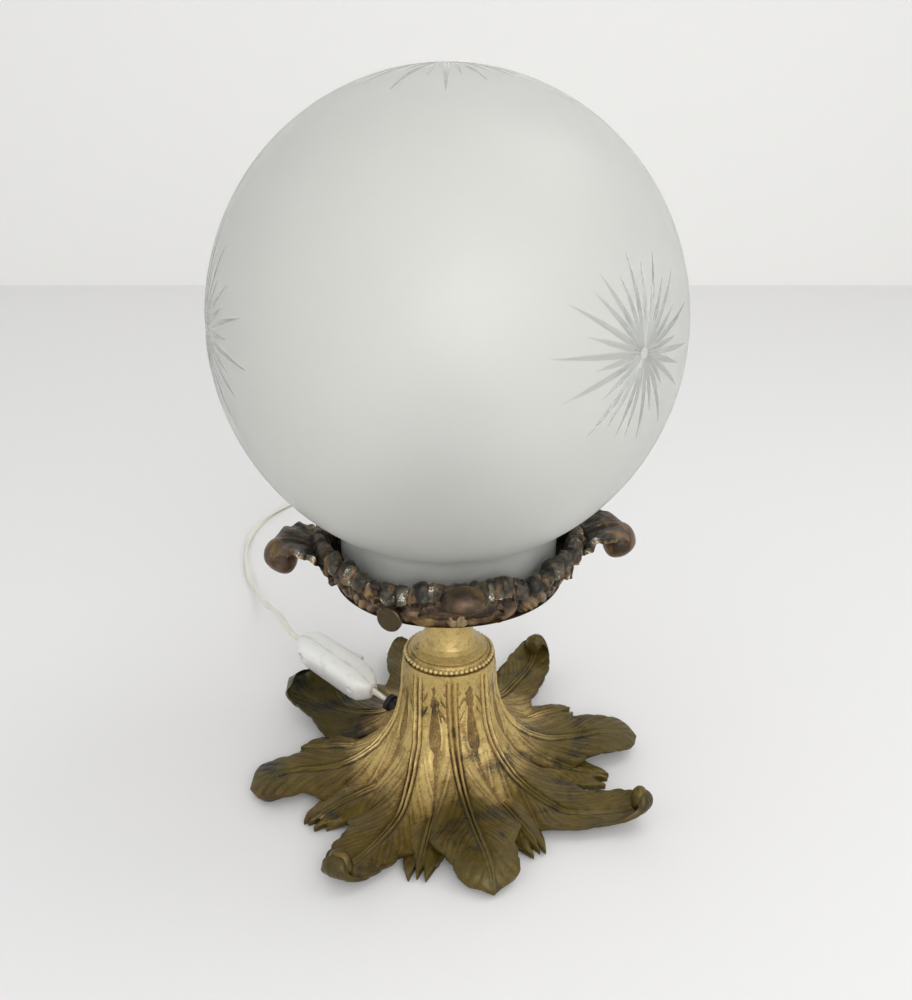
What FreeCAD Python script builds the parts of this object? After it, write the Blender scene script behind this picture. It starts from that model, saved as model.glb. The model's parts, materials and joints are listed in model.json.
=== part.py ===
import FreeCAD, Part
import math
import os

Vec = FreeCAD.Vector
UP = Vec(0, 0, 1)
AXIS = Vec(0, 0, 0)

# ---------------------------------------------------------------- driving dimensions, mm
# The lamp stands on z = 0 and its stem is the Z axis. Outlines are (radius, height).

# Threaded tube M10x1 that clamps the whole stack
TUBE_R = 5.0
TUBE_BORE_R = 4.0
TUBE_HOLE_R = 5.05
TUBE_Z = (55.0, 118.0)
NUT_FLATS = 14.0
NUT_H = 4.4
WASHER_R = 10.5
WASHER_H = 1.6

# Foot: a bell-shaped column that spreads into acanthus leaves
COLUMN_TOP = 74.0
COLUMN_WEB_Z = 67.0
BELL_OUTSIDE = [(28.0, COLUMN_TOP), (28.4, 60.0), (29.8, 46.0), (33.0, 34.0), (38.5, 24.0), (47.5, 14.5),
                (61.0, 7.2), (80.0, 2.6)]
BELL_INSIDE = [(66.0, 0.0), (52.0, 4.6), (41.5, 11.0), (33.5, 20.5), (28.6, 32.0), (25.6, 45.0),
               (24.0, COLUMN_WEB_Z)]

# Big leaves: direction in degrees, reach, half width, height of the crest near the tip and of the tip, sway
BASE_LEAVES = [
    (-80.0, 125.0, 21.0, 14.0, 5.0, 2.0),
    (-121.0, 132.0, 18.0, 9.0, 15.0, -3.0),
    (-166.0, 126.0, 19.0, 11.0, 6.0, 2.0),
    (153.0, 121.0, 22.0, 17.0, 21.0, 0.0),
    (108.0, 122.0, 17.0, 9.0, 15.0, 3.0),
    (57.0, 124.0, 18.0, 11.0, 20.0, -3.0),
    (3.0, 119.0, 21.0, 14.0, 9.0, 3.0),
    (-30.0, 131.0, 19.0, 8.0, 20.0, -4.0),
]
# Small lobes between them: direction, reach, half width, height
BASE_LOBES = [
    (-53.0, 107.0, 11.0, 8.0),
    (-100.0, 108.0, 10.0, 7.0),
    (-143.0, 104.0, 11.0, 8.0),
    (178.0, 92.0, 10.0, 9.0),
    (130.0, 94.0, 10.0, 8.0),
    (84.0, 96.0, 10.0, 8.0),
    (29.0, 88.0, 11.0, 9.0),
    (-15.0, 97.0, 10.0, 8.0),
]

# Ring and waist between column and gallery
RING_R = 25.8
RING_H = 4.6
WAIST_R = 14.0
WAIST_FLARE = 8.6
WAIST_FALL = 4.2
WAIST_Z = (79.8, 82.0, 84.2, 86.6, 89.4, 93.0, 99.0)
WAIST_FOOT_R = 23.2
GALLERY_Z = 99.0

# Leaf gallery: a shallow bowl with a flat ledge that the globe's neck stands on
BOWL_OUTSIDE = [(17.0, GALLERY_Z), (34.0, 104.5), (55.0, 116.0), (67.5, 130.0), (72.0, 149.0)]
BOWL_INSIDE = [(55.0, 130.0), (51.0, 119.5), (36.0, 109.5), (16.0, 104.0)]
BOWL_FLOOR_Z = 104.0
RECESS_R = 66.5
LEDGE_Z = 130.0
# Curled leaves: direction, then the middle line as (radius, height) and the half widths along it
LONG_CURL = [(52.0, 112.0), (66.0, 129.0), (79.0, 147.0), (93.0, 157.0), (103.0, 156.5), (107.5, 148.0),
             (104.0, 138.0)]
LONG_HALF = [9.0, 15.0, 18.0, 16.0, 12.0, 10.0, 7.5]
SHORT_CURL = [(52.0, 112.0), (66.5, 131.0), (74.0, 146.0), (79.5, 157.0), (84.5, 158.5), (88.0, 152.0),
              (87.0, 144.0)]
SHORT_HALF = [9.0, 14.0, 15.0, 13.0, 12.0, 11.5, 8.0]
# Two long leaves hold most of the rim, with two short ones between them: direction in degrees, middle line,
# half widths, and how far from the middle the side lobes stand
GALLERY_LEAVES = [(189.0, LONG_CURL, LONG_HALF, (-42.0, -22.0, 22.0, 42.0)),
                  (1.0, LONG_CURL, LONG_HALF, (-42.0, -22.0, 22.0, 42.0)),
                  (276.0, SHORT_CURL, SHORT_HALF, (-17.0, 17.0)),
                  (96.0, SHORT_CURL, SHORT_HALF, (-17.0, 17.0))]
RIM_LOBE = [(50.0, 112.0), (65.0, 127.0), (72.0, 141.0), (77.0, 152.0), (80.5, 158.0)]
RIM_LOBE_HALF = [6.0, 9.5, 11.0, 9.0, 5.0]

# Thumbscrews
SCREW_ANGLES = {"front": -113.0, "right": 24.0, "back": 145.0}
SCREW_Z = 138.0
SCREW_R = 2.0
SCREW_HOLE_R = 2.05
SCREW_HEAD_R = 6.9
SCREW_HEAD_H = 3.2
SCREW_BOSS_R = 4.6
SCREW_BOSS_END = 75.0

# Globe
GLOBE_R = 125.0
GLOBE_HALF_HEIGHT = 127.5
GLOBE_Z = 276.0
GLASS = 3.0
NECK_R = 62.0
SCREW_TIP = NECK_R + 0.2

# E27 holder and bulb
HOLDER_BASE = 111.0
HOLDER_SPLIT = 127.0
HOLDER_TOP = 165.0
HOLDER_R = 20.5
SHEET = 1.2
CORE_R = 18.6
CORE_Z = (123.2, 139.0, 162.0)
E27_R = 13.1
E27_CLEARANCE = 0.25
CONTACT_Z = 141.0
BULB_TOP = 246.0
BULB_NECK_Z = 164.0
BULB_NECK_R = 12.6
BULB_CONE_Z = 171.0
BULB_BALL_R = 29.6
BULB_STEPS = 10
BULB_GLASS = 0.9

# In-line switch: the middle of its two end faces, and the side that faces up
SWITCH_NEAR = Vec(-49.8, 26.8, 28.0)
SWITCH_FAR = Vec(-100.3, 62.8, 43.4)
SWITCH_SIDE_UP = Vec(-0.014, -0.408, 0.912)
SWITCH_W = 25.0
SWITCH_HALF_T = 11.0
SWITCH_WALL = 2.0
ROCKER_X = 30.0
ROCKER_L = 22.0
ROCKER_W = 12.0
ROCKER_TILT = 8.0
ROCKER_PIVOT_Z = 8.2
PIN_R = 1.0
SWITCH_SCREWS = ((11.0, 3.5), (54.0, 3.5))

# Flex: flat twin, 5 mm wide, twisted as it goes, so a round tube of 5 mm holds it
FLEX_R = 2.5
FLEX_SIDES = 8
FLEX_ENTRY = 1.5
GROMMET_FLANGE = 3.0
GROMMET_GAP = 13.0
GROMMET_R = 4.0
GROMMET_FLANGE_R = 5.6

# Coil of the flex that is put away behind the lamp
COIL_CENTRE = (-40.0, 369.8)
COIL_START_R = 39.2
COIL_PITCH = 6.4
COIL_HALF_TURNS_IN = 5
COIL_HALF_TURNS_OUT = 6

# Two-pin plug lying on the table
PLUG_Y = 409.8
PLUG_BACK_X = 53.0
PLUG_L = 35.0
PLUG_W = 35.3
PLUG_T = 13.7
PLUG_PIN_R = 2.0
PLUG_PIN_L = 19.0
PLUG_PIN_SPACING = 18.6
RELIEF_L = 24.0


# ---------------------------------------------------------------- helpers
def save(shape, name):
    """Write one sub-part and say what was made."""
    shape.exportStep(os.path.join("parts", name + ".step"))
    solids = len(shape.Solids)
    print(f"{name:20s} solids {solids}  volume {shape.Volume:10.1f} mm3  valid {shape.isValid()}")


def at(radius, z):
    """Point of the half plane y = 0."""
    return Vec(radius, 0, z)


def polar(radius, degrees, z):
    """Point at a radius and a direction about the stem."""
    angle = math.radians(degrees)
    return Vec(radius * math.cos(angle), radius * math.sin(angle), z)


def edges_through(points):
    """Straight edges from point to point."""
    return [Part.makeLine(a, b) for a, b in zip(points, points[1:])]


def arcs_through(outline):
    """Arcs through an outline's points in the half plane, three at a time; a pair that is left is a line."""
    points = [at(r, z) for r, z in outline]
    edges = [Part.Arc(*points[i:i + 3]).toShape() for i in range(0, len(points) - 2, 2)]
    if len(points) % 2 == 0:
        edges.append(Part.makeLine(points[-2], points[-1]))
    return edges


def turned(edges):
    """Solid of revolution about the stem from a closed outline."""
    face = Part.Face(Part.Wire(edges))
    return face.revolve(AXIS, UP, 360)


def turned_polygon(outline):
    """Solid of revolution from a closed outline of straight lines."""
    points = [at(r, z) for r, z in outline]
    return turned(edges_through(points + points[:1]))


def many_sided(sides, radius, centre, way):
    """Even polygon square to a direction, with a corner on neither side of its top."""
    across = way.cross(UP).normalize() * radius
    up = across.cross(way).normalize() * radius
    angles = [2 * math.pi * (k + 0.5) / sides for k in range(sides)]
    corners = [centre + across * math.cos(angle) + up * math.sin(angle) for angle in angles]
    return Part.makePolygon(corners + corners[:1])


def rod(radius, start, end):
    """Round bar between two points."""
    return Part.makeCylinder(radius, (end - start).Length, start, end - start)


def leaf_section(centre, slope, direction, half, thick, crown):
    """Closed outline across a leaf: it falls from the midrib to both edges, over a flat underside."""
    outward = polar(1.0, direction, 0.0)
    across = UP.cross(outward)
    normal = UP * math.cos(slope) - outward * math.sin(slope)
    low = -crown - thick * 0.55
    shoulder = -crown * 0.25
    corners = [(-1.0, -crown), (-0.6, shoulder), (0.0, 0.0), (0.6, shoulder), (1.0, -crown), (1.0, low),
               (-1.0, low)]
    points = [centre + across * (side * half) + normal * height for side, height in corners]
    return Part.makePolygon(points + points[:1])


def leaf(direction, line, halves, thick, crown, sway=0.0):
    """Leaf lofted along its midrib, given as (radius, height) points; sway turns its tip, in degrees."""
    sections = []
    last = len(line) - 1
    for i, (radius, height) in enumerate(line):
        before = line[max(i - 1, 0)]
        after = line[min(i + 1, last)]
        slope = math.atan2(after[1] - before[1], after[0] - before[0])
        turn = direction + sway * (i / last) ** 2
        bow = crown * min(1.0, halves[i] / max(halves))
        sections.append(leaf_section(polar(radius, turn, height), slope, turn, halves[i], thick, bow))
    return Part.makeLoft(sections, True, True)


# ---------------------------------------------------------------- foot
def base_leaf(direction, reach, half, crest, tip, sway):
    """A big leaf: a rib on the column that widens down the bell and runs out to its tip."""
    line = [(27.0, 69.0), (29.6, 50.0), (35.5, 32.5), (48.0, 18.0), (68.0, 10.5),
            (reach - 36.0, 8.0 + crest * 0.25), (reach - 19.0, crest), (reach - 7.0, (crest + tip) / 2 + 1.0),
            (reach, tip)]
    halves = [3.4, 5.0, 7.5, 11.5, half * 0.8, half, half * 0.86, half * 0.55, half * 0.2]
    return leaf(direction, line, halves, 5.5, 4.0, sway)


def base_lobe(direction, reach, half, height):
    """A small lobe that shows between two big leaves."""
    line = [(37.0, 28.0), (48.0, 16.5), (64.0, 9.5), (reach - 14.0, height), (reach, height - 3.5)]
    halves = [3.5, 6.0, half * 0.9, half, half * 0.45]
    return leaf(direction, line, halves, 5.0, 3.0)


def switch_axes():
    """Unit vectors along the switch, out of its upper side and out of its rocker face."""
    along = (SWITCH_FAR - SWITCH_NEAR).normalize()
    side = SWITCH_SIDE_UP - along * SWITCH_SIDE_UP.dot(along)
    side.normalize()
    return along, side, along.cross(side)


def grommet_axis():
    """Where the bush's flange ends outside, and the direction in which the flex leaves."""
    along = switch_axes()[0]
    return SWITCH_NEAR - along * GROMMET_GAP, along


def base_casting():
    """Hollow bell with its leaves, open beneath, drilled for the tube and for the bush."""
    rim_out = BELL_OUTSIDE[-1]
    closing = [at(*rim_out), at(rim_out[0], 0), at(0, 0), at(0, COLUMN_TOP), at(*BELL_OUTSIDE[0])]
    body = turned(arcs_through(BELL_OUTSIDE) + edges_through(closing))
    pieces = [base_leaf(*numbers) for numbers in BASE_LEAVES]
    pieces += [base_lobe(*numbers) for numbers in BASE_LOBES]
    body = body.fuse(pieces)
    hollow = turned_polygon(BELL_INSIDE + [(0, COLUMN_WEB_Z), (0, -1), (BELL_INSIDE[0][0], -1)])
    body = body.cut([hollow, Part.makeBox(400, 400, 60, Vec(-200, -200, -60)),
                     rod(TUBE_HOLE_R, Vec(0, 0, 60), Vec(0, 0, 80))])
    flange_end, along = grommet_axis()
    seat = flange_end - along * GROMMET_FLANGE
    body = body.cut([rod(GROMMET_FLANGE_R + 0.1, seat, seat + along * 14),
                     rod(GROMMET_R + 0.05, seat - along * 16, seat + along)])
    return body.removeSplitter()


def base_grommet():
    """Flanged bush in the column's wall that the flex runs through."""
    flange_end, along = grommet_axis()
    seat = flange_end - along * GROMMET_FLANGE
    bush = rod(GROMMET_FLANGE_R, seat, flange_end).fuse(rod(GROMMET_R, seat - along * 7, seat))
    return bush.cut(rod(FLEX_R + 0.05, seat - along * 10, flange_end + along)).removeSplitter()


# ---------------------------------------------------------------- stem
def beaded_collar():
    """Flat ring on the column with a bevelled edge."""
    top = COLUMN_TOP + RING_H
    middle = COLUMN_TOP + RING_H / 2
    return turned_polygon([(TUBE_HOLE_R, COLUMN_TOP), (RING_R - 1, COLUMN_TOP), (RING_R, COLUMN_TOP + 1),
                           (RING_R, middle), (RING_R - 2, top), (TUBE_HOLE_R, top)])


def stem_neck():
    """Waist with a hollow flare, whose radius falls off evenly, and a raised fillet at its foot."""
    foot = COLUMN_TOP + RING_H
    flare = [(WAIST_R + WAIST_FLARE * math.exp((WAIST_Z[0] - z) / WAIST_FALL), z) for z in WAIST_Z]
    fillet = [(TUBE_HOLE_R, foot), (WAIST_FOOT_R - 0.4, foot), (WAIST_FOOT_R, foot + 0.4),
              (WAIST_FOOT_R, WAIST_Z[0] - 0.4)]
    return turned_polygon(fillet + flare + [(TUBE_HOLE_R, WAIST_Z[-1])])


def threaded_tube():
    """Tube from the column to the lamp holder."""
    low, high = TUBE_Z
    return turned_polygon([(TUBE_BORE_R, low), (TUBE_R, low), (TUBE_R, high), (TUBE_BORE_R, high)])


def hex_nut(z):
    """Hexagon nut with its lower face at z."""
    corner = NUT_FLATS / math.sqrt(3)
    points = [polar(corner, 60 * k, z) for k in range(7)]
    prism = Part.Face(Part.makePolygon(points)).extrude(UP * NUT_H)
    return prism.cut(rod(TUBE_HOLE_R, Vec(0, 0, z - 1), Vec(0, 0, z + NUT_H + 1)))


def washer(z):
    """Washer with its lower face at z."""
    top = z + WASHER_H
    return turned_polygon([(TUBE_HOLE_R, z), (WASHER_R, z), (WASHER_R, top), (TUBE_HOLE_R, top)])


def clamp_washers():
    """One under the column's web and one on the gallery's floor."""
    return Part.Compound([washer(COLUMN_WEB_Z - WASHER_H), washer(BOWL_FLOOR_Z)])


def clamp_nuts():
    """One under each washer's free side."""
    return Part.Compound([hex_nut(COLUMN_WEB_Z - WASHER_H - NUT_H), hex_nut(BOWL_FLOOR_Z + WASHER_H)])


# ---------------------------------------------------------------- gallery
def gallery():
    """Bowl of curled leaves and small rim lobes, with a ledge for the neck and bosses for the screws."""
    low, high = BOWL_OUTSIDE[0], BOWL_OUTSIDE[-1]
    closing = edges_through([at(*high), at(0, high[1]), at(0, low[1]), at(*low)])
    bowl = turned(arcs_through(BOWL_OUTSIDE) + closing)
    pieces = []
    for direction, line, halves, side_turns in GALLERY_LEAVES:
        pieces.append(leaf(direction, line, halves, 5.0, 3.5))
        pieces += [leaf(direction + turn, RIM_LOBE, RIM_LOBE_HALF, 4.5, 2.0) for turn in side_turns]
    for angle in SCREW_ANGLES.values():
        pieces.append(rod(SCREW_BOSS_R, polar(60, angle, SCREW_Z), polar(SCREW_BOSS_END, angle, SCREW_Z)))
    body = bowl.fuse(pieces)
    over_ledge = LEDGE_Z + 1
    hollow_end = [(0, BOWL_FLOOR_Z), (0, over_ledge), (BOWL_INSIDE[0][0], over_ledge)]
    hollow = turned_polygon(BOWL_INSIDE + hollow_end)
    cuts = [hollow, rod(RECESS_R, Vec(0, 0, LEDGE_Z), Vec(0, 0, 220)),
            rod(TUBE_HOLE_R, Vec(0, 0, 90), Vec(0, 0, 110))]
    cuts += [rod(SCREW_HOLE_R, polar(58, angle, SCREW_Z), polar(90, angle, SCREW_Z))
             for angle in SCREW_ANGLES.values()]
    cuts += [rod(SCREW_HEAD_R + 0.6, polar(SCREW_BOSS_END, angle, SCREW_Z), polar(95, angle, SCREW_Z))
             for angle in SCREW_ANGLES.values()]
    return body.cut(cuts).removeSplitter()


def thumbscrew(angle):
    """Screw along a radius: its flat tip bears on the neck, its flat round head is turned by hand."""
    shank_end = SCREW_BOSS_END + 0.5
    shank = rod(SCREW_R, polar(SCREW_TIP, angle, SCREW_Z), polar(shank_end + 0.2, angle, SCREW_Z))
    head_end = shank_end + SCREW_HEAD_H
    head = rod(SCREW_HEAD_R, polar(shank_end, angle, SCREW_Z), polar(head_end, angle, SCREW_Z))
    rims = [edge for edge in head.Edges if edge.Curve.TypeId == "Part::GeomCircle"]
    return shank.fuse(head.makeChamfer(0.7, rims)).removeSplitter()


def globe_section(shrink):
    """Edges from the neck to the top, drawn in by shrink: two half balls with a short band between them."""
    radius, neck = GLOBE_R - shrink, NECK_R - shrink
    band = GLOBE_HALF_HEIGHT - GLOBE_R
    start = math.asin(neck / radius)

    def on_ball(angle, centre_z):
        return at(radius * math.sin(angle), centre_z - radius * math.cos(angle))

    low, high = GLOBE_Z - band, GLOBE_Z + band
    right = math.pi / 2
    lower = Part.Arc(on_ball(start, low), on_ball((start + right) / 2, low), at(radius, low)).toShape()
    upper = Part.Arc(at(radius, high), on_ball(1.5 * right, high), at(0, high + radius)).toShape()
    sides = edges_through([at(neck, LEDGE_Z), on_ball(start, low)])
    sides += edges_through([at(radius, low), at(radius, high)])
    return [lower, upper] + sides


def globe():
    """Blown globe, a little taller than wide, with a straight open neck."""
    top = GLOBE_Z + GLOBE_HALF_HEIGHT
    joins = [Part.makeLine(at(0, top), at(0, top - GLASS)),
             Part.makeLine(at(NECK_R - GLASS, LEDGE_Z), at(NECK_R, LEDGE_Z))]
    return turned(Part.__sortEdges__(globe_section(0.0) + globe_section(GLASS) + joins))


# ---------------------------------------------------------------- lamp holder
def holder_cap():
    """Dome that screws on the tube."""
    r, t = HOLDER_R, SHEET
    low, high = HOLDER_BASE, HOLDER_SPLIT
    dome = [(TUBE_HOLE_R, low), (8.5, low), (8.5, low + 3), (14.5, low + 5.5), (r - 1, low + 10),
            (r, high - 3), (r, high)]
    inside = [(r - t, high), (r - t, high - 3), (r - 1 - t, low + 10.8), (14.0, low + 6.9), (8.0, low + 4.4),
              (TUBE_HOLE_R, low + 4.4)]
    return turned_polygon(dome + inside)


def holder_shell():
    """Sleeve with a rolled lip at its mouth."""
    r, t = HOLDER_R, SHEET
    low, high = HOLDER_SPLIT, HOLDER_TOP
    lip = [(r, high - 2.4), (r + 0.9, high - 1.6), (r + 0.9, high - 0.6), (r, high)]
    return turned_polygon([(r - t, low), (r, low)] + lip + [(r - t, high)])


def holder_core():
    """Ceramic body: a solid puck with a ring round the threaded shell."""
    low, floor, high = CORE_Z
    well = E27_R + E27_CLEARANCE + 0.7
    puck = turned_polygon([(0, low), (CORE_R, low), (CORE_R, high), (well, high), (well, floor), (0, floor)])
    wells = [rod(2.0, Vec(side * 11, 0, low - 1), Vec(side * 11, 0, low + 6)) for side in (-1, 1)]
    return puck.cut(wells)


def holder_thread():
    """Threaded shell that takes the bulb's cap."""
    inner = E27_R + E27_CLEARANCE
    return turned_polygon([(inner, CORE_Z[1] + 1), (inner + 0.5, CORE_Z[1] + 1), (inner + 0.5, CORE_Z[2]),
                           (inner, CORE_Z[2])])


def holder_contacts():
    """Centre tongue on the core's floor, and a side tongue that bears on the threaded shell's foot."""
    floor = CORE_Z[1]
    tongue = Part.makeBox(7, 6, CONTACT_Z - floor, Vec(-3.5, -3, floor))
    side = Part.makeBox(2.4, 3, 1.0, Vec(E27_R - 2.2, -1.5, floor))
    return Part.Compound([tongue, side])


def holder_screws():
    """Two terminal screws in the core's underside."""
    low, high = CORE_Z[0] + 0.6, CORE_Z[0] + 5.8
    return Part.Compound([rod(1.7, Vec(x, 0, low), Vec(x, 0, high)) for x in (-11, 11)])


# ---------------------------------------------------------------- bulb
def bulb_section(shrink):
    """Outline up the envelope, drawn in by shrink: straight neck, cone, and a ball that closes the top."""
    neck, ball = BULB_NECK_R - shrink, BULB_BALL_R - shrink
    centre_z = BULB_TOP - BULB_BALL_R
    drop = centre_z - BULB_CONE_Z
    touch = math.atan2(neck, drop) + math.acos(ball / math.hypot(neck, drop))
    turns = [touch + (math.pi - touch) * k / BULB_STEPS for k in range(BULB_STEPS)]
    rounding = [(ball * math.sin(turn), centre_z - ball * math.cos(turn)) for turn in turns]
    return [(neck, BULB_NECK_Z), (neck, BULB_CONE_Z)] + rounding + [(0.0, centre_z + ball)]


def bulb_glass():
    """Pear-shaped envelope, open at the neck that sits in the cap."""
    return turned_polygon(bulb_section(0.0) + bulb_section(BULB_GLASS)[::-1])


def bulb_cap():
    """Screw cap: five turns of thread as ridges, and a plain collar round the glass neck."""
    low = CONTACT_Z + 3.0
    pitch = 3.6
    root = E27_R - 0.9
    inner = E27_R - 1.5
    collar_in = BULB_NECK_R + 0.05
    collar_top = BULB_NECK_Z + 4.0
    outline = [(inner, low)]
    for turn in range(5):
        foot = low + turn * pitch
        outline += [(root, foot), (E27_R, foot + pitch * 0.4), (E27_R, foot + pitch * 0.6)]
    top = low + 5 * pitch
    outline += [(root, top), (E27_R, top + 1), (E27_R, collar_top), (collar_in, collar_top),
                (collar_in, BULB_NECK_Z - 0.3), (inner, BULB_NECK_Z - 1)]
    return turned_polygon(outline)


def bulb_insulator():
    """Black glass cone under the cap."""
    low = CONTACT_Z + 0.9
    high = CONTACT_Z + 3.0
    return turned_polygon([(0, low), (5.0, low), (E27_R - 0.6, high), (0, high)])


def bulb_contact():
    """Solder button."""
    return turned_polygon([(0, CONTACT_Z), (4.0, CONTACT_Z), (4.8, CONTACT_Z + 0.9), (0, CONTACT_Z + 0.9)])


def bulb_stem():
    """Glass mount that carries the filament."""
    low = BULB_NECK_Z + 0.5
    outline = [(0, 0), (11.0, 0), (11.0, 1), (5.0, 4), (3.4, 16), (2.4, 21), (2.0, 29), (3.0, 31), (0, 32)]
    return turned_polygon([(r, low + z) for r, z in outline])


def bulb_filament():
    """Two lead wires and a looped filament, each a six-sided wire."""
    wire_r = 0.35
    foot_z, loop_z, loop_r = 186.0, 207.0, 13.0
    ends = [polar(loop_r, side * 120.0, loop_z) for side in (-1, 1)]
    loop = Part.Wire([Part.Arc(ends[0], polar(loop_r, 0.0, loop_z), ends[1]).toShape()])
    section = many_sided(6, wire_r, ends[0], polar(1.0, -30.0, 0.0))
    shape = loop.makePipeShell([section], True, False)
    for side, end in zip((-1, 1), ends):
        foot = Vec(-1.2, side * 3.2, foot_z)
        way = end + Vec(0, 0, 0.1) - foot
        shape = shape.fuse(Part.Face(many_sided(6, wire_r, foot, way)).extrude(way))
    return shape.removeSplitter()


# ---------------------------------------------------------------- flex
def route_length(wire):
    """Length along a wire."""
    return sum(edge.Length for edge in wire.Edges)


def tube_wire(points, name):
    """Straight runs joined by arcs; an arc takes 0.45 of the shorter of its two runs."""
    edges = []
    radii = []
    start = points[0]
    for before, corner, after in zip(points, points[1:], points[2:]):
        into = (corner - before).normalize()
        out = (after - corner).normalize()
        turn = into.getAngle(out)
        trim = 0.45 * min((corner - before).Length, (after - corner).Length)
        radii.append(trim / math.tan(turn / 2))
        arc_start = corner - into * trim
        arc_end = corner + out * trim
        middle = corner + (out - into).normalize() * (radii[-1] / math.cos(turn / 2) - radii[-1])
        edges.append(Part.LineSegment(start, arc_start).toShape())
        edges.append(Part.Arc(arc_start, middle, arc_end).toShape())
        start = arc_end
    edges.append(Part.LineSegment(start, points[-1]).toShape())
    print(f"{name} arc radii, mm: " + ", ".join(f"{radius:.0f}" for radius in radii))
    return Part.Wire(edges)


def tube_along(wire, radius, name):
    """Eight-sided tube along a wire, with its volume compared with section times length."""
    first = wire.Edges[0]
    start = first.valueAt(first.FirstParameter)
    ring = many_sided(FLEX_SIDES, radius, start, first.tangentAt(first.FirstParameter))
    tube = wire.makePipeShell([ring], True, False)
    expected = Part.Face(ring).Area * route_length(wire)
    share = tube.Volume / expected
    print(f"{name} length {route_length(wire):.1f} mm, volume over section times length {share:.4f}")
    return tube


def inner_lead_points():
    """From the bush's mouth through the bell and up the threaded tube."""
    mouth, along = grommet_axis()
    return [mouth, mouth - along * 19, Vec(-7.0, -1.5, 24.0), Vec(0, 0, 40.0), Vec(0, 0, CORE_Z[0])]


def lead_points():
    """From the bush to the switch."""
    mouth, along = grommet_axis()
    return [mouth, SWITCH_NEAR + along * FLEX_ENTRY]


def run_points():
    """From the switch down to the table, round behind the lamp and up to the coil."""
    along = switch_axes()[0]
    x, y = COIL_CENTRE
    coil_y = y + COIL_START_R
    return [SWITCH_FAR - along * FLEX_ENTRY, SWITCH_FAR + along * 11, Vec(-119, 93, 44), Vec(-130, 123, 34),
            Vec(-142, 157, 18), Vec(-154, 191, 6.5), Vec(-170, 227, FLEX_R), Vec(-178, 257, FLEX_R),
            Vec(-186, 290, FLEX_R), Vec(-187, 321, FLEX_R), Vec(-181, 350, FLEX_R), Vec(-171, 376, FLEX_R),
            Vec(-157, 397, FLEX_R), Vec(-135, 408, FLEX_R), Vec(-106, 411, FLEX_R),
            Vec(x - 34, coil_y, FLEX_R), Vec(x - 2 * FLEX_R, coil_y, FLEX_R)]


def biarc(start, start_way, end, end_way):
    """Two arcs from start to end, with the given directions at the ends; returns them as edges."""
    chord = end - start
    both = start_way + end_way
    square = chord.dot(chord)
    spread = 2 * (1 - start_way.dot(end_way))
    along = chord.dot(both)
    reach = (math.sqrt(along * along + spread * square) - along) / spread
    knee_in = start + start_way * reach
    knee_out = end - end_way * reach
    joint = (knee_in + knee_out) * 0.5
    edges = []
    for a, knee, b in ((start, knee_in, joint), (joint, knee_out, end)):
        into = (knee - a).normalize()
        out = (b - knee).normalize()
        half_turn = into.getAngle(out) / 2
        radius = (knee - a).Length / math.tan(half_turn)
        middle = knee + (out - into).normalize() * (radius / math.cos(half_turn) - radius)
        edges.append(Part.Arc(a, middle, b).toShape())
    return edges


def coil_wire():
    """Flat spiral in, half a turn that climbs a layer, spiral out above it; clockwise seen from above."""
    x, y = COIL_CENTRE
    lead = 2 * FLEX_R
    place = Vec(x, y + COIL_START_R, FLEX_R)
    way = Vec(1, 0, 0)
    edges = [Part.makeLine(place - way * lead, place)]
    radius = COIL_START_R
    steps = [-COIL_PITCH / 2] * COIL_HALF_TURNS_IN + [0.0] + [COIL_PITCH / 2] * COIL_HALF_TURNS_OUT
    climbs = [0.0] * COIL_HALF_TURNS_IN + [COIL_PITCH] + [0.0] * COIL_HALF_TURNS_OUT
    for step, climb in zip(steps, climbs):
        inward = Vec(way.y, -way.x, 0)
        after = place + inward * (2 * radius + step) + UP * climb
        edges += biarc(place, way, after, way * -1)
        radius += step
        place = after
        way = way * -1
    edges.append(Part.makeLine(place, place + way * lead))
    return Part.Wire(edges)


def gap_to_itself(wire, radius, name):
    """Least gap between stretches of a coil that are more than a quarter turn apart, measured on points."""
    spacing = 1.5
    marks = []
    travelled = 0.0
    for edge in wire.OrderedEdges:
        count = max(2, int(edge.Length / spacing))
        for k in range(count):
            along = edge.Length * k / count
            marks.append((travelled + along, edge.valueAt(edge.getParameterByLength(along))))
        travelled += edge.Length
    apart = COIL_START_R
    least = min((p - q).Length for i, (s, p) in enumerate(marks) for t, q in marks[i:] if t - s > apart)
    print(f"{name} least gap to itself {least - 2 * radius:.2f} mm")


def tail_points():
    """From the coil's upper layer down to the plug."""
    end = coil_wire().OrderedEdges[-1]
    place = end.valueAt(end.LastParameter)
    z = PLUG_T / 2
    relief = PLUG_BACK_X - RELIEF_L
    return [place, place + Vec(13, 0, 0), place + Vec(26, -0.8, -0.7), place + Vec(40, -2.0, -1.7),
            Vec(relief - 11, PLUG_Y, z), Vec(relief, PLUG_Y, z)]


# ---------------------------------------------------------------- switch
def switch_place(shape):
    """Move a piece from the switch's own frame: x along it, y to its upper side, z out of its rocker face."""
    along, side, out = switch_axes()
    near = SWITCH_NEAR
    matrix = FreeCAD.Matrix(along.x, side.x, out.x, near.x, along.y, side.y, out.y, near.y,
                            along.z, side.z, out.z, near.z, 0, 0, 0, 1)
    placed = shape.copy()
    placed.transformShape(matrix)
    return placed


def switch_length():
    """Length over the two end faces."""
    return (SWITCH_FAR - SWITCH_NEAR).Length


def prism(outline, depth):
    """Solid from a closed flat outline and a depth vector."""
    return Part.Face(Part.makePolygon(outline + outline[:1])).extrude(depth)


def box_between(low, high):
    """Box from its lowest to its highest corner."""
    size = high - low
    return Part.makeBox(size.x, size.y, size.z, low)


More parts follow.
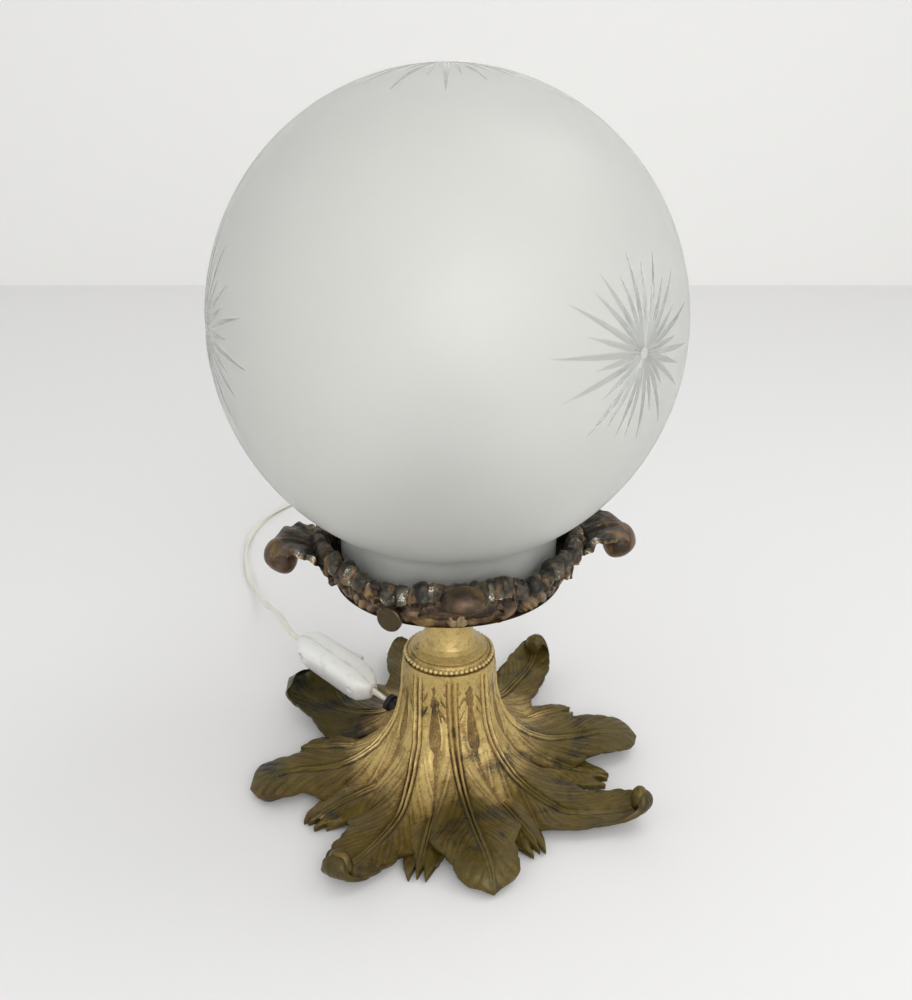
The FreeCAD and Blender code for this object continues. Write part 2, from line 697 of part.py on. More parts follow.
def switch_half(end_t, slope_l, sign):
    """Closed half of the body: blunt ends of height end_t that slope up to the full half thickness."""
    length, half_w, full = switch_length(), SWITCH_W / 2, SWITCH_HALF_T
    side = [(0, 0), (0, end_t), (slope_l, full), (length - slope_l, full), (length, end_t), (length, 0)]
    profile = prism([Vec(x, -half_w, sign * z) for x, z in side], Vec(0, 2 * half_w, 0))
    inset, shoulder = 5.0, 13.0
    edge = half_w - inset
    plan = [(0, -edge), (shoulder, -half_w), (length - shoulder, -half_w), (length, -edge),
            (length, edge), (length - shoulder, half_w), (shoulder, half_w), (0, edge)]
    outline = prism([Vec(x, y, -full - 1) for x, y in plan], Vec(0, 0, 2 * full + 2))
    block = profile.common(outline)
    rounded = [edge for edge in block.Edges if abs(edge.BoundBox.ZMin) + abs(edge.BoundBox.ZMax) > 0.1]
    return block.makeFillet(1.4, rounded)


def switch_hollow(sign):
    """Space inside one half."""
    wall, length = SWITCH_WALL, switch_length()
    far = SWITCH_HALF_T - wall
    low, high = sorted((0.0, sign * far))
    half = SWITCH_W / 2 - wall - 0.6
    return box_between(Vec(13, -half, low), Vec(length - 13, half, high))


def cord_ways():
    """Round channels through both ends, half in each half of the body."""
    length = switch_length()
    radius = FLEX_R + 0.05
    return [rod(radius, Vec(near, 0, 0), Vec(near + 15, 0, 0)) for near in (-1, length - 14)]


def switch_base():
    """Half with the two screw recesses."""
    cuts = [switch_hollow(-1)] + cord_ways()
    shell = switch_half(6.0, 6.0, -1).cut(cuts)
    for x, y in SWITCH_SCREWS:
        boss = rod(3.6, Vec(x, y, -SWITCH_HALF_T + 1.5), Vec(x, y, 0))
        shell = shell.fuse(boss.common(switch_half(6.0, 6.0, -1)))
    for x, y in SWITCH_SCREWS:
        shell = shell.cut([rod(2.5, Vec(x, y, -SWITCH_HALF_T - 1), Vec(x, y, -SWITCH_HALF_T + 4.5)),
                           rod(1.55, Vec(x, y, -SWITCH_HALF_T), Vec(x, y, 1))])
    return switch_place(shell.cut(cord_ways()).removeSplitter())


def rocker_window(clearance):
    """Opening for the rocker in the cover's face."""
    half_l, half_w = ROCKER_L / 2 + clearance, ROCKER_W / 2 + clearance
    low = Vec(ROCKER_X - half_l, -half_w, 1.5)
    return box_between(low, Vec(ROCKER_X + half_l, half_w, SWITCH_HALF_T + 3))


def switch_cover():
    """Half with the rocker's window and the two lugs that hold its pin."""
    cuts = [switch_hollow(1), rocker_window(0.45)] + cord_ways()
    shell = switch_half(5.0, 11.0, 1).cut(cuts)
    for side in (-1, 1):
        near, far = sorted((side * (ROCKER_W / 2 + 0.45), side * (ROCKER_W / 2 + 2.6)))
        low = Vec(ROCKER_X - 3, near, ROCKER_PIVOT_Z - 3)
        shell = shell.fuse(box_between(low, Vec(ROCKER_X + 3, far, SWITCH_HALF_T - 1)))
    pin_y = ROCKER_W / 2 + 2.6
    shell = shell.cut(rod(PIN_R, Vec(ROCKER_X, -pin_y, ROCKER_PIVOT_Z), Vec(ROCKER_X, pin_y, ROCKER_PIVOT_Z)))
    shell = shell.cut([rod(1.2, Vec(x, y, -1), Vec(x, y, 6)) for x, y in SWITCH_SCREWS])
    return switch_place(shell.removeSplitter())


def switch_rocker():
    """Rocker with a shallow V face, tilted so that its end towards the lamp stands up."""
    half_l, half_w = ROCKER_L / 2, ROCKER_W / 2
    top = SWITCH_HALF_T - ROCKER_PIVOT_Z
    lean = 0.6
    side = [(-half_l, -2.5), (-half_l + lean, top + 1.6), (-half_l + 2, top + 1.7), (0, top + 0.4),
            (half_l - 2, top + 1.7), (half_l - lean, top + 1.6), (half_l, -2.5), (3.0, -4.6), (-3.0, -4.6)]
    block = prism([Vec(x, -half_w, z) for x, z in side], Vec(0, 2 * half_w, 0))
    block = block.cut(rod(PIN_R + 0.05, Vec(0, -half_w - 1, 0), Vec(0, half_w + 1, 0)))
    block.rotate(Vec(0, 0, 0), Vec(0, 1, 0), ROCKER_TILT)
    block.translate(Vec(ROCKER_X, 0, ROCKER_PIVOT_Z))
    return switch_place(block)


def switch_pin():
    """Pin of the rocker, held in the cover's lugs."""
    half = ROCKER_W / 2 + 2.5
    start, end = (Vec(ROCKER_X, y, ROCKER_PIVOT_Z) for y in (-half, half))
    return switch_place(rod(PIN_R - 0.02, start, end))


def switch_terminals():
    """Two brass terminal blocks on the floor of the lower half."""
    floor = -SWITCH_HALF_T + SWITCH_WALL
    blocks = [box_between(Vec(x, -4, floor), Vec(x + 7, 3, floor + 6)) for x in (17.0, 39.0)]
    return switch_place(Part.Compound(blocks))


def switch_screws():
    """Two screws, heads down in the recesses."""
    shapes = []
    for x, y in SWITCH_SCREWS:
        head = rod(2.3, Vec(x, y, -SWITCH_HALF_T + 2.6), Vec(x, y, -SWITCH_HALF_T + 4.5))
        slot = box_between(Vec(x - 3, y - 0.3, -SWITCH_HALF_T + 2), Vec(x + 3, y + 0.3, -SWITCH_HALF_T + 3.3))
        shank = rod(1.15, Vec(x, y, -SWITCH_HALF_T + 4.5), Vec(x, y, 5.5))
        shapes.append(head.fuse(shank).cut(slot).removeSplitter())
    return switch_place(Part.Compound(shapes))


# ---------------------------------------------------------------- plug
def plug_section(x, half_w, half_t, chamfer):
    """Closed outline of the plug across its length."""
    z = PLUG_T / 2
    corners = [(half_w, half_t - chamfer), (half_w - chamfer, half_t), (-half_w + chamfer, half_t),
               (-half_w, half_t - chamfer), (-half_w, -half_t + chamfer), (-half_w + chamfer, -half_t),
               (half_w - chamfer, -half_t), (half_w, -half_t + chamfer)]
    points = [Vec(x, PLUG_Y + side, z + h) for side, h in corners]
    return Part.makePolygon(points + points[:1])


def plug_body():
    """Flat moulded body that narrows towards the flex."""
    half_w, half_t = PLUG_W / 2, PLUG_T / 2
    front = PLUG_BACK_X + PLUG_L
    sections = [plug_section(front, half_w, half_t, 3.6), plug_section(front - 15, half_w, half_t, 3.6),
                plug_section(PLUG_BACK_X + 8, half_w * 0.6, half_t, 3.2),
                plug_section(PLUG_BACK_X, half_w * 0.42, half_t * 0.9, 2.8)]
    return Part.makeLoft(sections, True, True)


def plug_relief():
    """Tapered sleeve with rings where the flex enters the plug."""
    z = PLUG_T / 2
    rings = 5
    pitch = RELIEF_L / rings
    outline = [(0.0, 0.0)]
    for k in range(rings):
        radius = 5.2 - 0.55 * k
        outline += [(radius, k * pitch), (radius, (k + 0.62) * pitch), (radius - 0.8, (k + 0.7) * pitch),
                    (radius - 0.8, (k + 1) * pitch)]
    outline.append((0.0, RELIEF_L))
    sleeve = turned_polygon(outline)
    sleeve.rotate(AXIS, Vec(0, 1, 0), -90)
    sleeve.translate(Vec(PLUG_BACK_X, PLUG_Y, z))
    return sleeve


def plug_pins():
    """Two round pins."""
    front = PLUG_BACK_X + PLUG_L
    z = PLUG_T / 2
    pins = []
    for side in (-1, 1):
        y = PLUG_Y + side * PLUG_PIN_SPACING / 2
        pin = rod(PLUG_PIN_R, Vec(front, y, z), Vec(front + PLUG_PIN_L, y, z))
        tip = [edge for edge in pin.Edges if edge.BoundBox.XMin > front + PLUG_PIN_L - 0.1]
        pins.append(pin.makeChamfer(0.8, tip))
    return Part.Compound(pins)


# ---------------------------------------------------------------- the lamp
def main():
    os.makedirs("parts", exist_ok=True)
    save(base_casting(), "base_casting")
    save(base_grommet(), "base_grommet")
    save(beaded_collar(), "beaded_collar")
    save(stem_neck(), "stem_neck")
    save(gallery(), "gallery")
    save(threaded_tube(), "threaded_tube")
    save(clamp_washers(), "clamp_washers")
    save(clamp_nuts(), "clamp_nuts")
    for place, angle in SCREW_ANGLES.items():
        save(thumbscrew(angle), "thumbscrew_" + place)
    save(globe(), "globe")

    save(holder_cap(), "holder_cap")
    save(holder_shell(), "holder_shell")
    save(holder_core(), "holder_core")
    save(holder_thread(), "holder_thread")
    save(holder_contacts(), "holder_contacts")
    save(holder_screws(), "holder_screws")

    save(bulb_glass(), "bulb_glass")
    save(bulb_cap(), "bulb_cap")
    save(bulb_insulator(), "bulb_insulator")
    save(bulb_contact(), "bulb_contact")
    save(bulb_stem(), "bulb_stem")
    save(bulb_filament(), "bulb_filament")

    save(switch_base(), "switch_base")
    save(switch_cover(), "switch_cover")
    save(switch_rocker(), "switch_rocker")
    save(switch_pin(), "switch_pin")
    save(switch_terminals(), "switch_terminals")
    save(switch_screws(), "switch_screws")

    save(plug_body(), "plug_body")
    save(plug_relief(), "plug_relief")
    save(plug_pins(), "plug_pins")

    stretches = [("inner_lead", tube_wire(inner_lead_points(), "inner_lead")),
                 ("cord_lead", Part.Wire(edges_through(lead_points()))),
                 ("cord_run", tube_wire(run_points(), "cord_run")),
                 ("cord_coil", coil_wire()),
                 ("cord_tail", tube_wire(tail_points(), "cord_tail"))]
    for name, wire in stretches:
        save(tube_along(wire, FLEX_R, name), name)
    gap_to_itself(coil_wire(), FLEX_R, "cord_coil")
    free = sum(route_length(wire) for name, wire in stretches if name != "inner_lead")
    print(f"flex from bush to plug, through the switch: {free + switch_length() - 2 * FLEX_ENTRY:.0f} mm")


main()
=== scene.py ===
import json
import math
from functools import partial

import bmesh
import bpy
import numpy as np
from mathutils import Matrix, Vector, noise


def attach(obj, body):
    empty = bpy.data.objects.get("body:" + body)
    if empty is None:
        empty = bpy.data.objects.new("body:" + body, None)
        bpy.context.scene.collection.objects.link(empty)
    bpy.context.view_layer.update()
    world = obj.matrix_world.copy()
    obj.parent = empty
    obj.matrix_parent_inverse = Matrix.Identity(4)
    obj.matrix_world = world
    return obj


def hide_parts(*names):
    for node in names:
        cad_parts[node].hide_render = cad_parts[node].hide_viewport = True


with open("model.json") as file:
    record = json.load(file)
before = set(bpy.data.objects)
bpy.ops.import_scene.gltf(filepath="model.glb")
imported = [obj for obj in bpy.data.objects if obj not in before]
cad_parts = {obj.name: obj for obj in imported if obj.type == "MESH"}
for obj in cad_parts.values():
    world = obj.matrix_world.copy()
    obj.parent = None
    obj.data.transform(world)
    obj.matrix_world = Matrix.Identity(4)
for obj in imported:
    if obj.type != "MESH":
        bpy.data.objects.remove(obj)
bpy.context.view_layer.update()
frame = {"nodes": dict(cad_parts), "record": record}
record = frame["record"]

MM = 0.001


# ---------------------------------------------------------------- small tools

def linear(code):
    """An sRGB hex colour as the linear RGBA that a shader takes."""
    parts = [int(code[i:i + 2], 16) / 255 for i in (1, 3, 5)]
    return [p / 12.92 if p <= 0.04045 else ((p + 0.055) / 1.055) ** 2.4 for p in parts] + [1.0]


def node(tree, kind, inputs, output=0, stops=(), **settings):
    """Adds a node with its settings, links and colour stops, and returns one of its outputs.

    An input is a value, a hex colour or another node's output.
    """
    new = tree.nodes.new(kind)
    for key, value in settings.items():
        setattr(new, key, value)
    for socket, value in inputs.items():
        if isinstance(value, bpy.types.NodeSocket):
            tree.links.new(value, new.inputs[socket])
        else:
            new.inputs[socket].default_value = linear(value) if isinstance(value, str) else value
    while stops and len(new.color_ramp.elements) < len(stops):
        new.color_ramp.elements.new(0.5)
    for k, (position, code) in enumerate(stops):
        new.color_ramp.elements[k].position = position
        new.color_ramp.elements[k].color = linear(code)
    return new.outputs[output] if len(new.outputs) else None


def new_material(name):
    """An empty node material, and the function that adds a node to it."""
    material = bpy.data.materials.new(name)
    material.use_nodes = True
    material.node_tree.nodes.clear()
    return material, partial(node, material.node_tree)


def smooth_step(low, high, value):
    """0 below low, 1 above high and an even S between them."""
    t = np.clip((value - low) / (high - low), 0.0, 1.0)
    return t * t * (3 - 2 * t)


CURVE_STEPS = 24


def through(points, count):
    """A smooth curve through the points, as count points evenly spaced along it, with the distances."""
    p = np.array(points, float)
    p = np.vstack([2 * p[0] - p[1], p, 2 * p[-1] - p[-2]])
    t = np.linspace(0, 1, CURVE_STEPS, endpoint=False)[:, None]
    parts = []
    for a, b, c, d in zip(p[:-3], p[1:-2], p[2:-1], p[3:]):
        parts.append(0.5 * (2 * b + (c - a) * t + (2 * a - 5 * b + 4 * c - d) * t ** 2
                            + (3 * b - a - 3 * c + d) * t ** 3))
    fine = np.vstack(parts + [p[-2][None]])
    run = np.concatenate([[0], np.cumsum(np.linalg.norm(np.diff(fine, axis=0), axis=1))])
    marks = np.linspace(0, run[-1], count)
    return np.stack([np.interp(marks, run, fine[:, k]) for k in range(p.shape[1])], axis=1), marks


def slopes(line):
    """Unit directions along a (radius, z) line, as columns."""
    slope = np.gradient(line, axis=0)
    slope /= np.linalg.norm(slope, axis=1, keepdims=True)
    return slope[:, 0:1], slope[:, 1:2]


def rough(points, size, seed):
    """Smooth noise from -1 to 1 at each point, for lumps of about this size in mm."""
    shift = Vector((seed * 17.3, seed * 5.1, seed * 11.7))
    flat = points.reshape(-1, 3) / size
    values = [noise.noise(Vector(p) + shift) for p in flat]
    return np.array(values).reshape(points.shape[:-1])


def normals_of(grid):
    """Unit normals of a grid of points."""
    along = np.gradient(grid, axis=0)
    across = np.gradient(grid, axis=1)
    n = np.cross(across, along)
    return n / np.maximum(np.linalg.norm(n, axis=2, keepdims=True), 1e-9)


def grid_faces(rows, cols, start=0, closed=False):
    """Quads of a grid whose points are numbered row by row."""
    index = np.arange(rows * cols).reshape(rows, cols) + start
    if closed:
        index = np.hstack([index, index[:, :1]])
    corners = [index[:-1, :-1], index[:-1, 1:], index[1:, 1:], index[1:, :-1]]
    return np.stack(corners, axis=-1).reshape(-1, 4)


def shell(grid, thick, out, floor=None):
    """Closes a sheet into a plate: the grid, its underside thick mm against out, and the edge between."""
    rows, cols = grid.shape[:2]
    under = grid - out * np.broadcast_to(thick, (rows, cols))[..., None]
    if floor is not None:
        under[..., 2] = np.maximum(under[..., 2], floor)
    points = np.vstack([grid.reshape(-1, 3), under.reshape(-1, 3)])
    index = np.arange(rows * cols).reshape(rows, cols)
    ring = np.concatenate([index[0, :-1], index[:-1, -1], index[-1, :0:-1], index[:0:-1, 0]])
    after = np.roll(ring, -1)
    edge = np.stack([after, ring, ring + rows * cols, after + rows * cols], axis=-1)
    top = grid_faces(rows, cols)[:, ::-1]
    bottom = grid_faces(rows, cols, rows * cols)
    return points, np.vstack([top, bottom, edge[:, ::-1]])


def lathe(outline, segments):
    """A closed outline of (radius, z) points turned round the Z axis, as points and quads."""
    angles = np.linspace(0, 2 * math.pi, segments, endpoint=False)
    outline = np.array(outline, float)
    points = np.stack([np.outer(outline[:, 0], np.cos(angles)), np.outer(outline[:, 0], np.sin(angles)),
                       np.repeat(outline[:, 1:], segments, axis=1)], axis=-1)
    faces = grid_faces(len(outline) + 1, segments, closed=True)
    faces = np.where(faces >= len(outline) * segments, faces - len(outline) * segments, faces)
    return points.reshape(-1, 3), faces


def around(middle, radius, sideways, height):
    """Points a radius out from the axis in the middle direction, moved sideways, at these heights."""
    way = math.radians(middle)
    return np.stack([radius * math.cos(way) - sideways * math.sin(way),
                     radius * math.sin(way) + sideways * math.cos(way), height], axis=-1)


def ball(segments, rings, radius):
    """A ball's points and faces; Blender lists the faces in another order each run, so they are sorted."""
    made = bmesh.new()
    bmesh.ops.create_uvsphere(made, u_segments=segments, v_segments=rings, radius=radius)
    points = np.array([v.co for v in made.verts])
    faces = sorted([v.index for v in f.verts] for f in made.faces)
    made.free()
    return points, faces


def piece(name, points, faces, finish, body, marks=None):
    """A smooth mesh object from points in mm, riding on a body; marks are named numbers on its points."""
    mesh = bpy.data.meshes.new(name)
    mesh.from_pydata((np.asarray(points) * MM).tolist(), [], [list(map(int, f)) for f in faces])
    mesh.polygons.foreach_set("use_smooth", [True] * len(mesh.polygons))
    for key, values in (marks or {}).items():
        mesh.attributes.new(key, "FLOAT", "POINT").data.foreach_set("value", np.ravel(values).astype(float))
    mesh.materials.append(finish)
    mesh.update()
    made = bpy.data.objects.new(name, mesh)
    bpy.context.scene.collection.objects.link(made)
    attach(made, body)
    return made


def gather(parts):
    """Several (points, faces, marks) joined into one set of points, faces and marks."""
    points, faces, marks, start = [], [], [], 0
    for part_points, part_faces, part_marks in parts:
        points.append(part_points)
        faces += [[int(i) + start for i in face] for face in part_faces]
        marks.append(np.ravel(part_marks))
        start += len(part_points)
    return np.vstack(points), faces, np.concatenate(marks)


# ------------------------------------------------------------------- materials

PLACE = "ShaderNodeTexCoord"
MARK = "ShaderNodeAttribute"
NOISE = "ShaderNodeTexNoise"
MATH = "ShaderNodeMath"
RANGE = "ShaderNodeMapRange"
RAMP = "ShaderNodeValToRGB"
MIX = "ShaderNodeMix"
BUMP = "ShaderNodeBump"
# Settings of a range node that eases in and out, and of a mix node for colours
EASED = {"interpolation_type": "SMOOTHSTEP"}
COLOURS = {"output": 2, "data_type": "RGBA"}


def grain(place, size_mm, detail=4.0, roughness=0.55):
    """A noise node's inputs, for lumps of this size in mm."""
    return {"Vector": place, "Scale": 1 / (size_mm * MM), "Detail": detail, "Roughness": roughness}


def from_to(value, low, high, to_low=0.0, to_high=1.0):
    """A range node's inputs, from low..high to to_low..to_high."""
    return {"Value": value, "From Min": low, "From Max": high, "To Min": to_low, "To Max": to_high}


def mixed(share, first, second):
    """A colour mix node's inputs."""
    return {0: share, 6: first, 7: second}


def raised(height, distance_mm, strength):
    """A bump node's inputs, for a relief of this height in mm."""
    return {"Height": height, "Distance": distance_mm * MM, "Strength": strength}


def finished(material, add, looks):
    """Ends a material with its surface shader."""
    add("ShaderNodeOutputMaterial", {"Surface": add("ShaderNodeBsdfPrincipled", looks)})
    return material


def gilt_bronze():
    """Cast bronze, mercury gilt and worn: pale gold on ribs and flats, olive-brown patina in the hollows."""
    material, add = new_material("aged_gilt_bronze_casting")
    place = add(PLACE, {}, "Object")
    relief = add(MARK, {}, "Fac", attribute_name="relief")
    age = add(MARK, {}, "Fac", attribute_name="age")
    stains = add(NOISE, grain(place, 9.0, 6.0, 0.66))
    specks = add(NOISE, grain(place, 1.1, 4.0, 0.7))
    blotches = add(MATH, {0: stains, 1: 0.5}, operation="SUBTRACT")
    blotches = add(MATH, {0: blotches, 1: 0.36}, operation="MULTIPLY")
    grit = add(MATH, {0: specks, 1: 0.5}, operation="SUBTRACT")
    grit = add(MATH, {0: grit, 1: 0.45}, operation="MULTIPLY")
    uneven = add(MATH, {0: blotches, 1: grit}, operation="ADD")
    wear = add(MATH, {0: relief, 1: uneven}, operation="ADD")
    gold = add(RAMP, {"Fac": wear}, stops=[(0.1, "#3A2312"), (0.3, "#86693A"), (0.44, "#C6AB68"),
                                           (0.64, "#D9C386"), (0.95, "#E9DFBC")])
    brown = add(RAMP, {"Fac": wear}, stops=[(0.1, "#120F06"), (0.32, "#463712"), (0.5, "#745C20"),
                                            (0.7, "#9C8742"), (0.95, "#C2B688")])
    # Where the gilding has gone, the bronze shows rusty brown.
    rust = add(RANGE, from_to(add(NOISE, grain(place, 9.0, 5.0, 0.6)), 0.56, 0.7, 0.0, 0.45), **EASED)
    gold = add(MIX, mixed(rust, gold, "#6B4A2C"), **COLOURS)
    # The gold gives way to brown towards the leaves' tips, in broad uneven patches.
    broad = add(RANGE, from_to(add(NOISE, grain(place, 34.0, 3.0, 0.5)), 0.35, 0.65, -0.22, 0.22), **EASED)
    aged = add(MATH, {0: age, 1: broad}, operation="ADD")
    colour = add(MIX, mixed(add(RANGE, from_to(aged, 0.0, 1.0), **EASED), gold, brown), **COLOURS)
    olive = add(MATH, {0: add(NOISE, grain(place, 22.0, 4.0)), 1: aged}, operation="MULTIPLY")
    olive = add(RANGE, from_to(olive, 0.3, 0.5, 0.0, 0.55), **EASED)
    colour = add(MIX, mixed(olive, colour, "#5C501C"), **COLOURS)
    # Blackening keeps to low places, chalky dust to worn ones.
    soot = add(RANGE, from_to(add(NOISE, grain(place, 26.0, 5.0, 0.6)), 0.54, 0.66), **EASED)
    low = add(RANGE, from_to(wear, 0.3, 0.56, 0.8, 0.0), **EASED)
    colour = add(MIX, mixed(add(MATH, {0: soot, 1: low}, operation="MULTIPLY"), colour, "#171C18"), **COLOURS)
    chalk = add(MATH, {0: wear, 1: specks}, operation="MULTIPLY")
    chalk = add(RANGE, from_to(chalk, 0.38, 0.52, 0.0, 0.35), **EASED)
    colour = add(MIX, mixed(chalk, colour, "#C8C2A8"), **COLOURS)
    pitted = add(BUMP, raised(add(NOISE, grain(place, 3.6, 5.0)), 0.7, 0.5))
    return finished(material, add, {
        "Base Color": colour, "Metallic": 0.4,
        "Roughness": add(RANGE, from_to(specks, 0.3, 0.7, 0.28, 0.5), **EASED),
        "Normal": add(BUMP, {**raised(specks, 0.24, 0.6), "Normal": pitted})})


def dark_bronze():
    """Cast bronze left dark: red-brown smooth noses, chalky crests and a green crust inside the leaves."""
    material, add = new_material("dark_patinated_bronze_casting")
    place = add(PLACE, {}, "Object")
    relief = add(MARK, {}, "Fac", attribute_name="relief")
    crust = add(MARK, {}, "Fac", attribute_name="age")
    stains = add(NOISE, grain(place, 9.0, 5.0, 0.6))
    specks = add(NOISE, grain(place, 1.2, 3.0, 0.7))
    uneven = add(MATH, {0: stains, 1: 0.5}, operation="SUBTRACT")
    uneven = add(MATH, {0: uneven, 1: 0.6}, operation="MULTIPLY")
    wear = add(MATH, {0: relief, 1: uneven}, operation="ADD")
    brown = add(RAMP, {"Fac": wear}, stops=[(0.1, "#120D08"), (0.3, "#35281B"), (0.48, "#604A37"),
                                            (0.64, "#846C50"), (0.9, "#B0A080")])
    # Remains of gilding lie in patches over the brown.
    gold = add(RAMP, {"Fac": wear}, stops=[(0.2, "#33260F"), (0.5, "#846B34"), (0.8, "#B59F64")])
    gilt = add(RANGE, from_to(add(NOISE, grain(place, 14.0, 4.0)), 0.5, 0.62, 0.0, 0.65), **EASED)
    colour = add(MIX, mixed(gilt, brown, gold), **COLOURS)
    green = add(RAMP, {"Fac": wear}, stops=[(0.15, "#14130D"), (0.4, "#2F2C23"), (0.6, "#5C584A"),
                                            (0.85, "#B0AB9A")])
    patches = add(RANGE, from_to(add(NOISE, grain(place, 6.0, 5.0)), 0.3, 0.7, -0.4, 0.4), **EASED)
    covered = add(MATH, {0: crust, 1: patches}, operation="ADD")
    colour = add(MIX, mixed(add(RANGE, from_to(covered, 0.4, 0.75), **EASED), colour, green), **COLOURS)
    # Pale flecks sit on the crests of the crusted leaves.
    crests = add(MATH, {0: wear, 1: add(NOISE, grain(place, 1.0, 3.0, 0.6))}, operation="MULTIPLY")
    crusted = add(RANGE, from_to(crust, 0.08, 0.3), **EASED)
    crests = add(RANGE, from_to(crests, 0.32, 0.38), **EASED)
    flecks = add(MATH, {0: crusted, 1: crests}, operation="MULTIPLY")
    colour = add(MIX, mixed(flecks, colour, "#D9D6C8"), **COLOURS)
    pitted = add(BUMP, raised(add(NOISE, grain(place, 3.2, 5.0)), 0.8, 0.5))
    return finished(material, add, {
        "Base Color": colour, "Metallic": 0.45,
        "Roughness": add(RANGE, from_to(specks, 0.3, 0.7, 0.30, 0.5), **EASED),
        "Normal": add(BUMP, {**raised(specks, 0.3, 0.6), "Normal": pitted})})


def etched_glass():
    """Soda-lime glass, blown and acid-etched: its satin skin blurs what is behind it and darkens its rim."""
    material, add = new_material("acid_etched_glass")
    place = add(PLACE, {}, "Object")
    return finished(material, add, {
        "Base Color": add(MIX, mixed(add(NOISE, grain(place, 60.0, 3.0)), "#F6F7F2", "#FBFBF8"), **COLOURS),
        "Roughness": add(RANGE, from_to(add(NOISE, grain(place, 30.0)), 0.3, 0.7, 0.40, 0.46), **EASED),
        "IOR": 1.45, "Transmission Weight": 0.74,
        "Normal": add(BUMP, raised(add(NOISE, grain(place, 0.6, 2.0)), 0.05, 0.3))})


def cut_glass():
    """The same glass ground away and polished in the star's cuts, so they are clear and glint."""
    material, add = new_material("polished_cut_glass")
    shades = add(NOISE, grain(add(PLACE, {}, "Object"), 12.0))
    return finished(material, add, {
        "Base Color": add(MIX, mixed(shades, "#F2F4F1", "#FAFBF9"), **COLOURS),
        "Roughness": 0.06, "IOR": 1.5, "Transmission Weight": 0.95})


def white_abs():
    """Injection-moulded ABS, white and smooth, darkened grey-brown in patches along its bottom edge and its
    seam.
    """
    material, add = new_material("moulded_white_abs")
    place = add(PLACE, {}, "Object")
    colour = add(MIX, mixed(add(NOISE, grain(place, 14.0)), "#E4E4DF", "#EDEDE9"), **COLOURS)
    patches = add(RANGE, from_to(add(NOISE, grain(place, 6.0, 5.0, 0.65)), 0.4, 0.62, 0.1, 0.9), **EASED)
    lower_edge_band = add(MARK, {}, "Fac", attribute_name="lower_edge_band")
    band_share = add(MATH, {0: lower_edge_band, 1: patches}, operation="MULTIPLY")
    colour = add(MIX, mixed(band_share, colour, "#7B7568"), **COLOURS)
    smudges = add(RANGE, from_to(add(NOISE, grain(place, 8.0, 5.0)), 0.55, 0.72, 0.0, 0.4), **EASED)
    colour = add(MIX, mixed(smudges, colour, "#C9C6BC"), **COLOURS)
    return finished(material, add, {
        "Base Color": colour,
        "Roughness": add(RANGE, from_to(add(NOISE, grain(place, 2.0, 3.0)), 0.3, 0.7, 0.28, 0.4), **EASED),
        "Normal": add(BUMP, raised(add(NOISE, grain(place, 0.5, 2.0)), 0.02, 0.5))})


def metal(name, tones, gloss=(0.25, 0.4), metallic=1.0):
    """A turned, drawn or pressed metal: two tones, fine marks and a little unevenness in its gloss."""
    material, add = new_material(name)
    place = add(PLACE, {}, "Object")
    return finished(material, add, {
        "Base Color": add(MIX, mixed(add(NOISE, grain(place, 6.0)), *tones), **COLOURS),
        "Metallic": metallic,
        "Roughness": add(RANGE, from_to(add(NOISE, grain(place, 0.5, 3.0)), 0.3, 0.7, *gloss), **EASED),
        "Normal": add(BUMP, raised(add(NOISE, grain(place, 0.5, 2.0)), 0.04, 0.5))})


def plastic(name, tones, gloss, grain_mm, height):
    """A moulded or extruded plastic, rubber or ceramic: even colour and a faint grain from its making."""
    material, add = new_material(name)
    place = add(PLACE, {}, "Object")
    return finished(material, add, {
        "Base Color": add(MIX, mixed(add(NOISE, grain(place, 14.0)), *tones), **COLOURS),
        "Roughness": add(RANGE, from_to(add(NOISE, grain(place, 2.0, 3.0)), 0.3, 0.7, *gloss), **EASED),
        "Normal": add(BUMP, raised(add(NOISE, grain(place, grain_mm, 2.0)), height, 0.5))})


def clear_glass():
    """Thin blown bulb glass, clear and slightly wavy."""
    material, add = new_material("blown_bulb_glass")
    place = add(PLACE, {}, "Object")
    return finished(material, add, {
        "Base Color": add(MIX, mixed(add(NOISE, grain(place, 20.0)), "#F2F4F2", "#FAFBFA"), **COLOURS),
        "Roughness": 0.06, "IOR": 1.5, "Transmission Weight": 0.9,
        "Normal": add(BUMP, raised(add(NOISE, grain(place, 9.0)), 0.1, 0.3))})


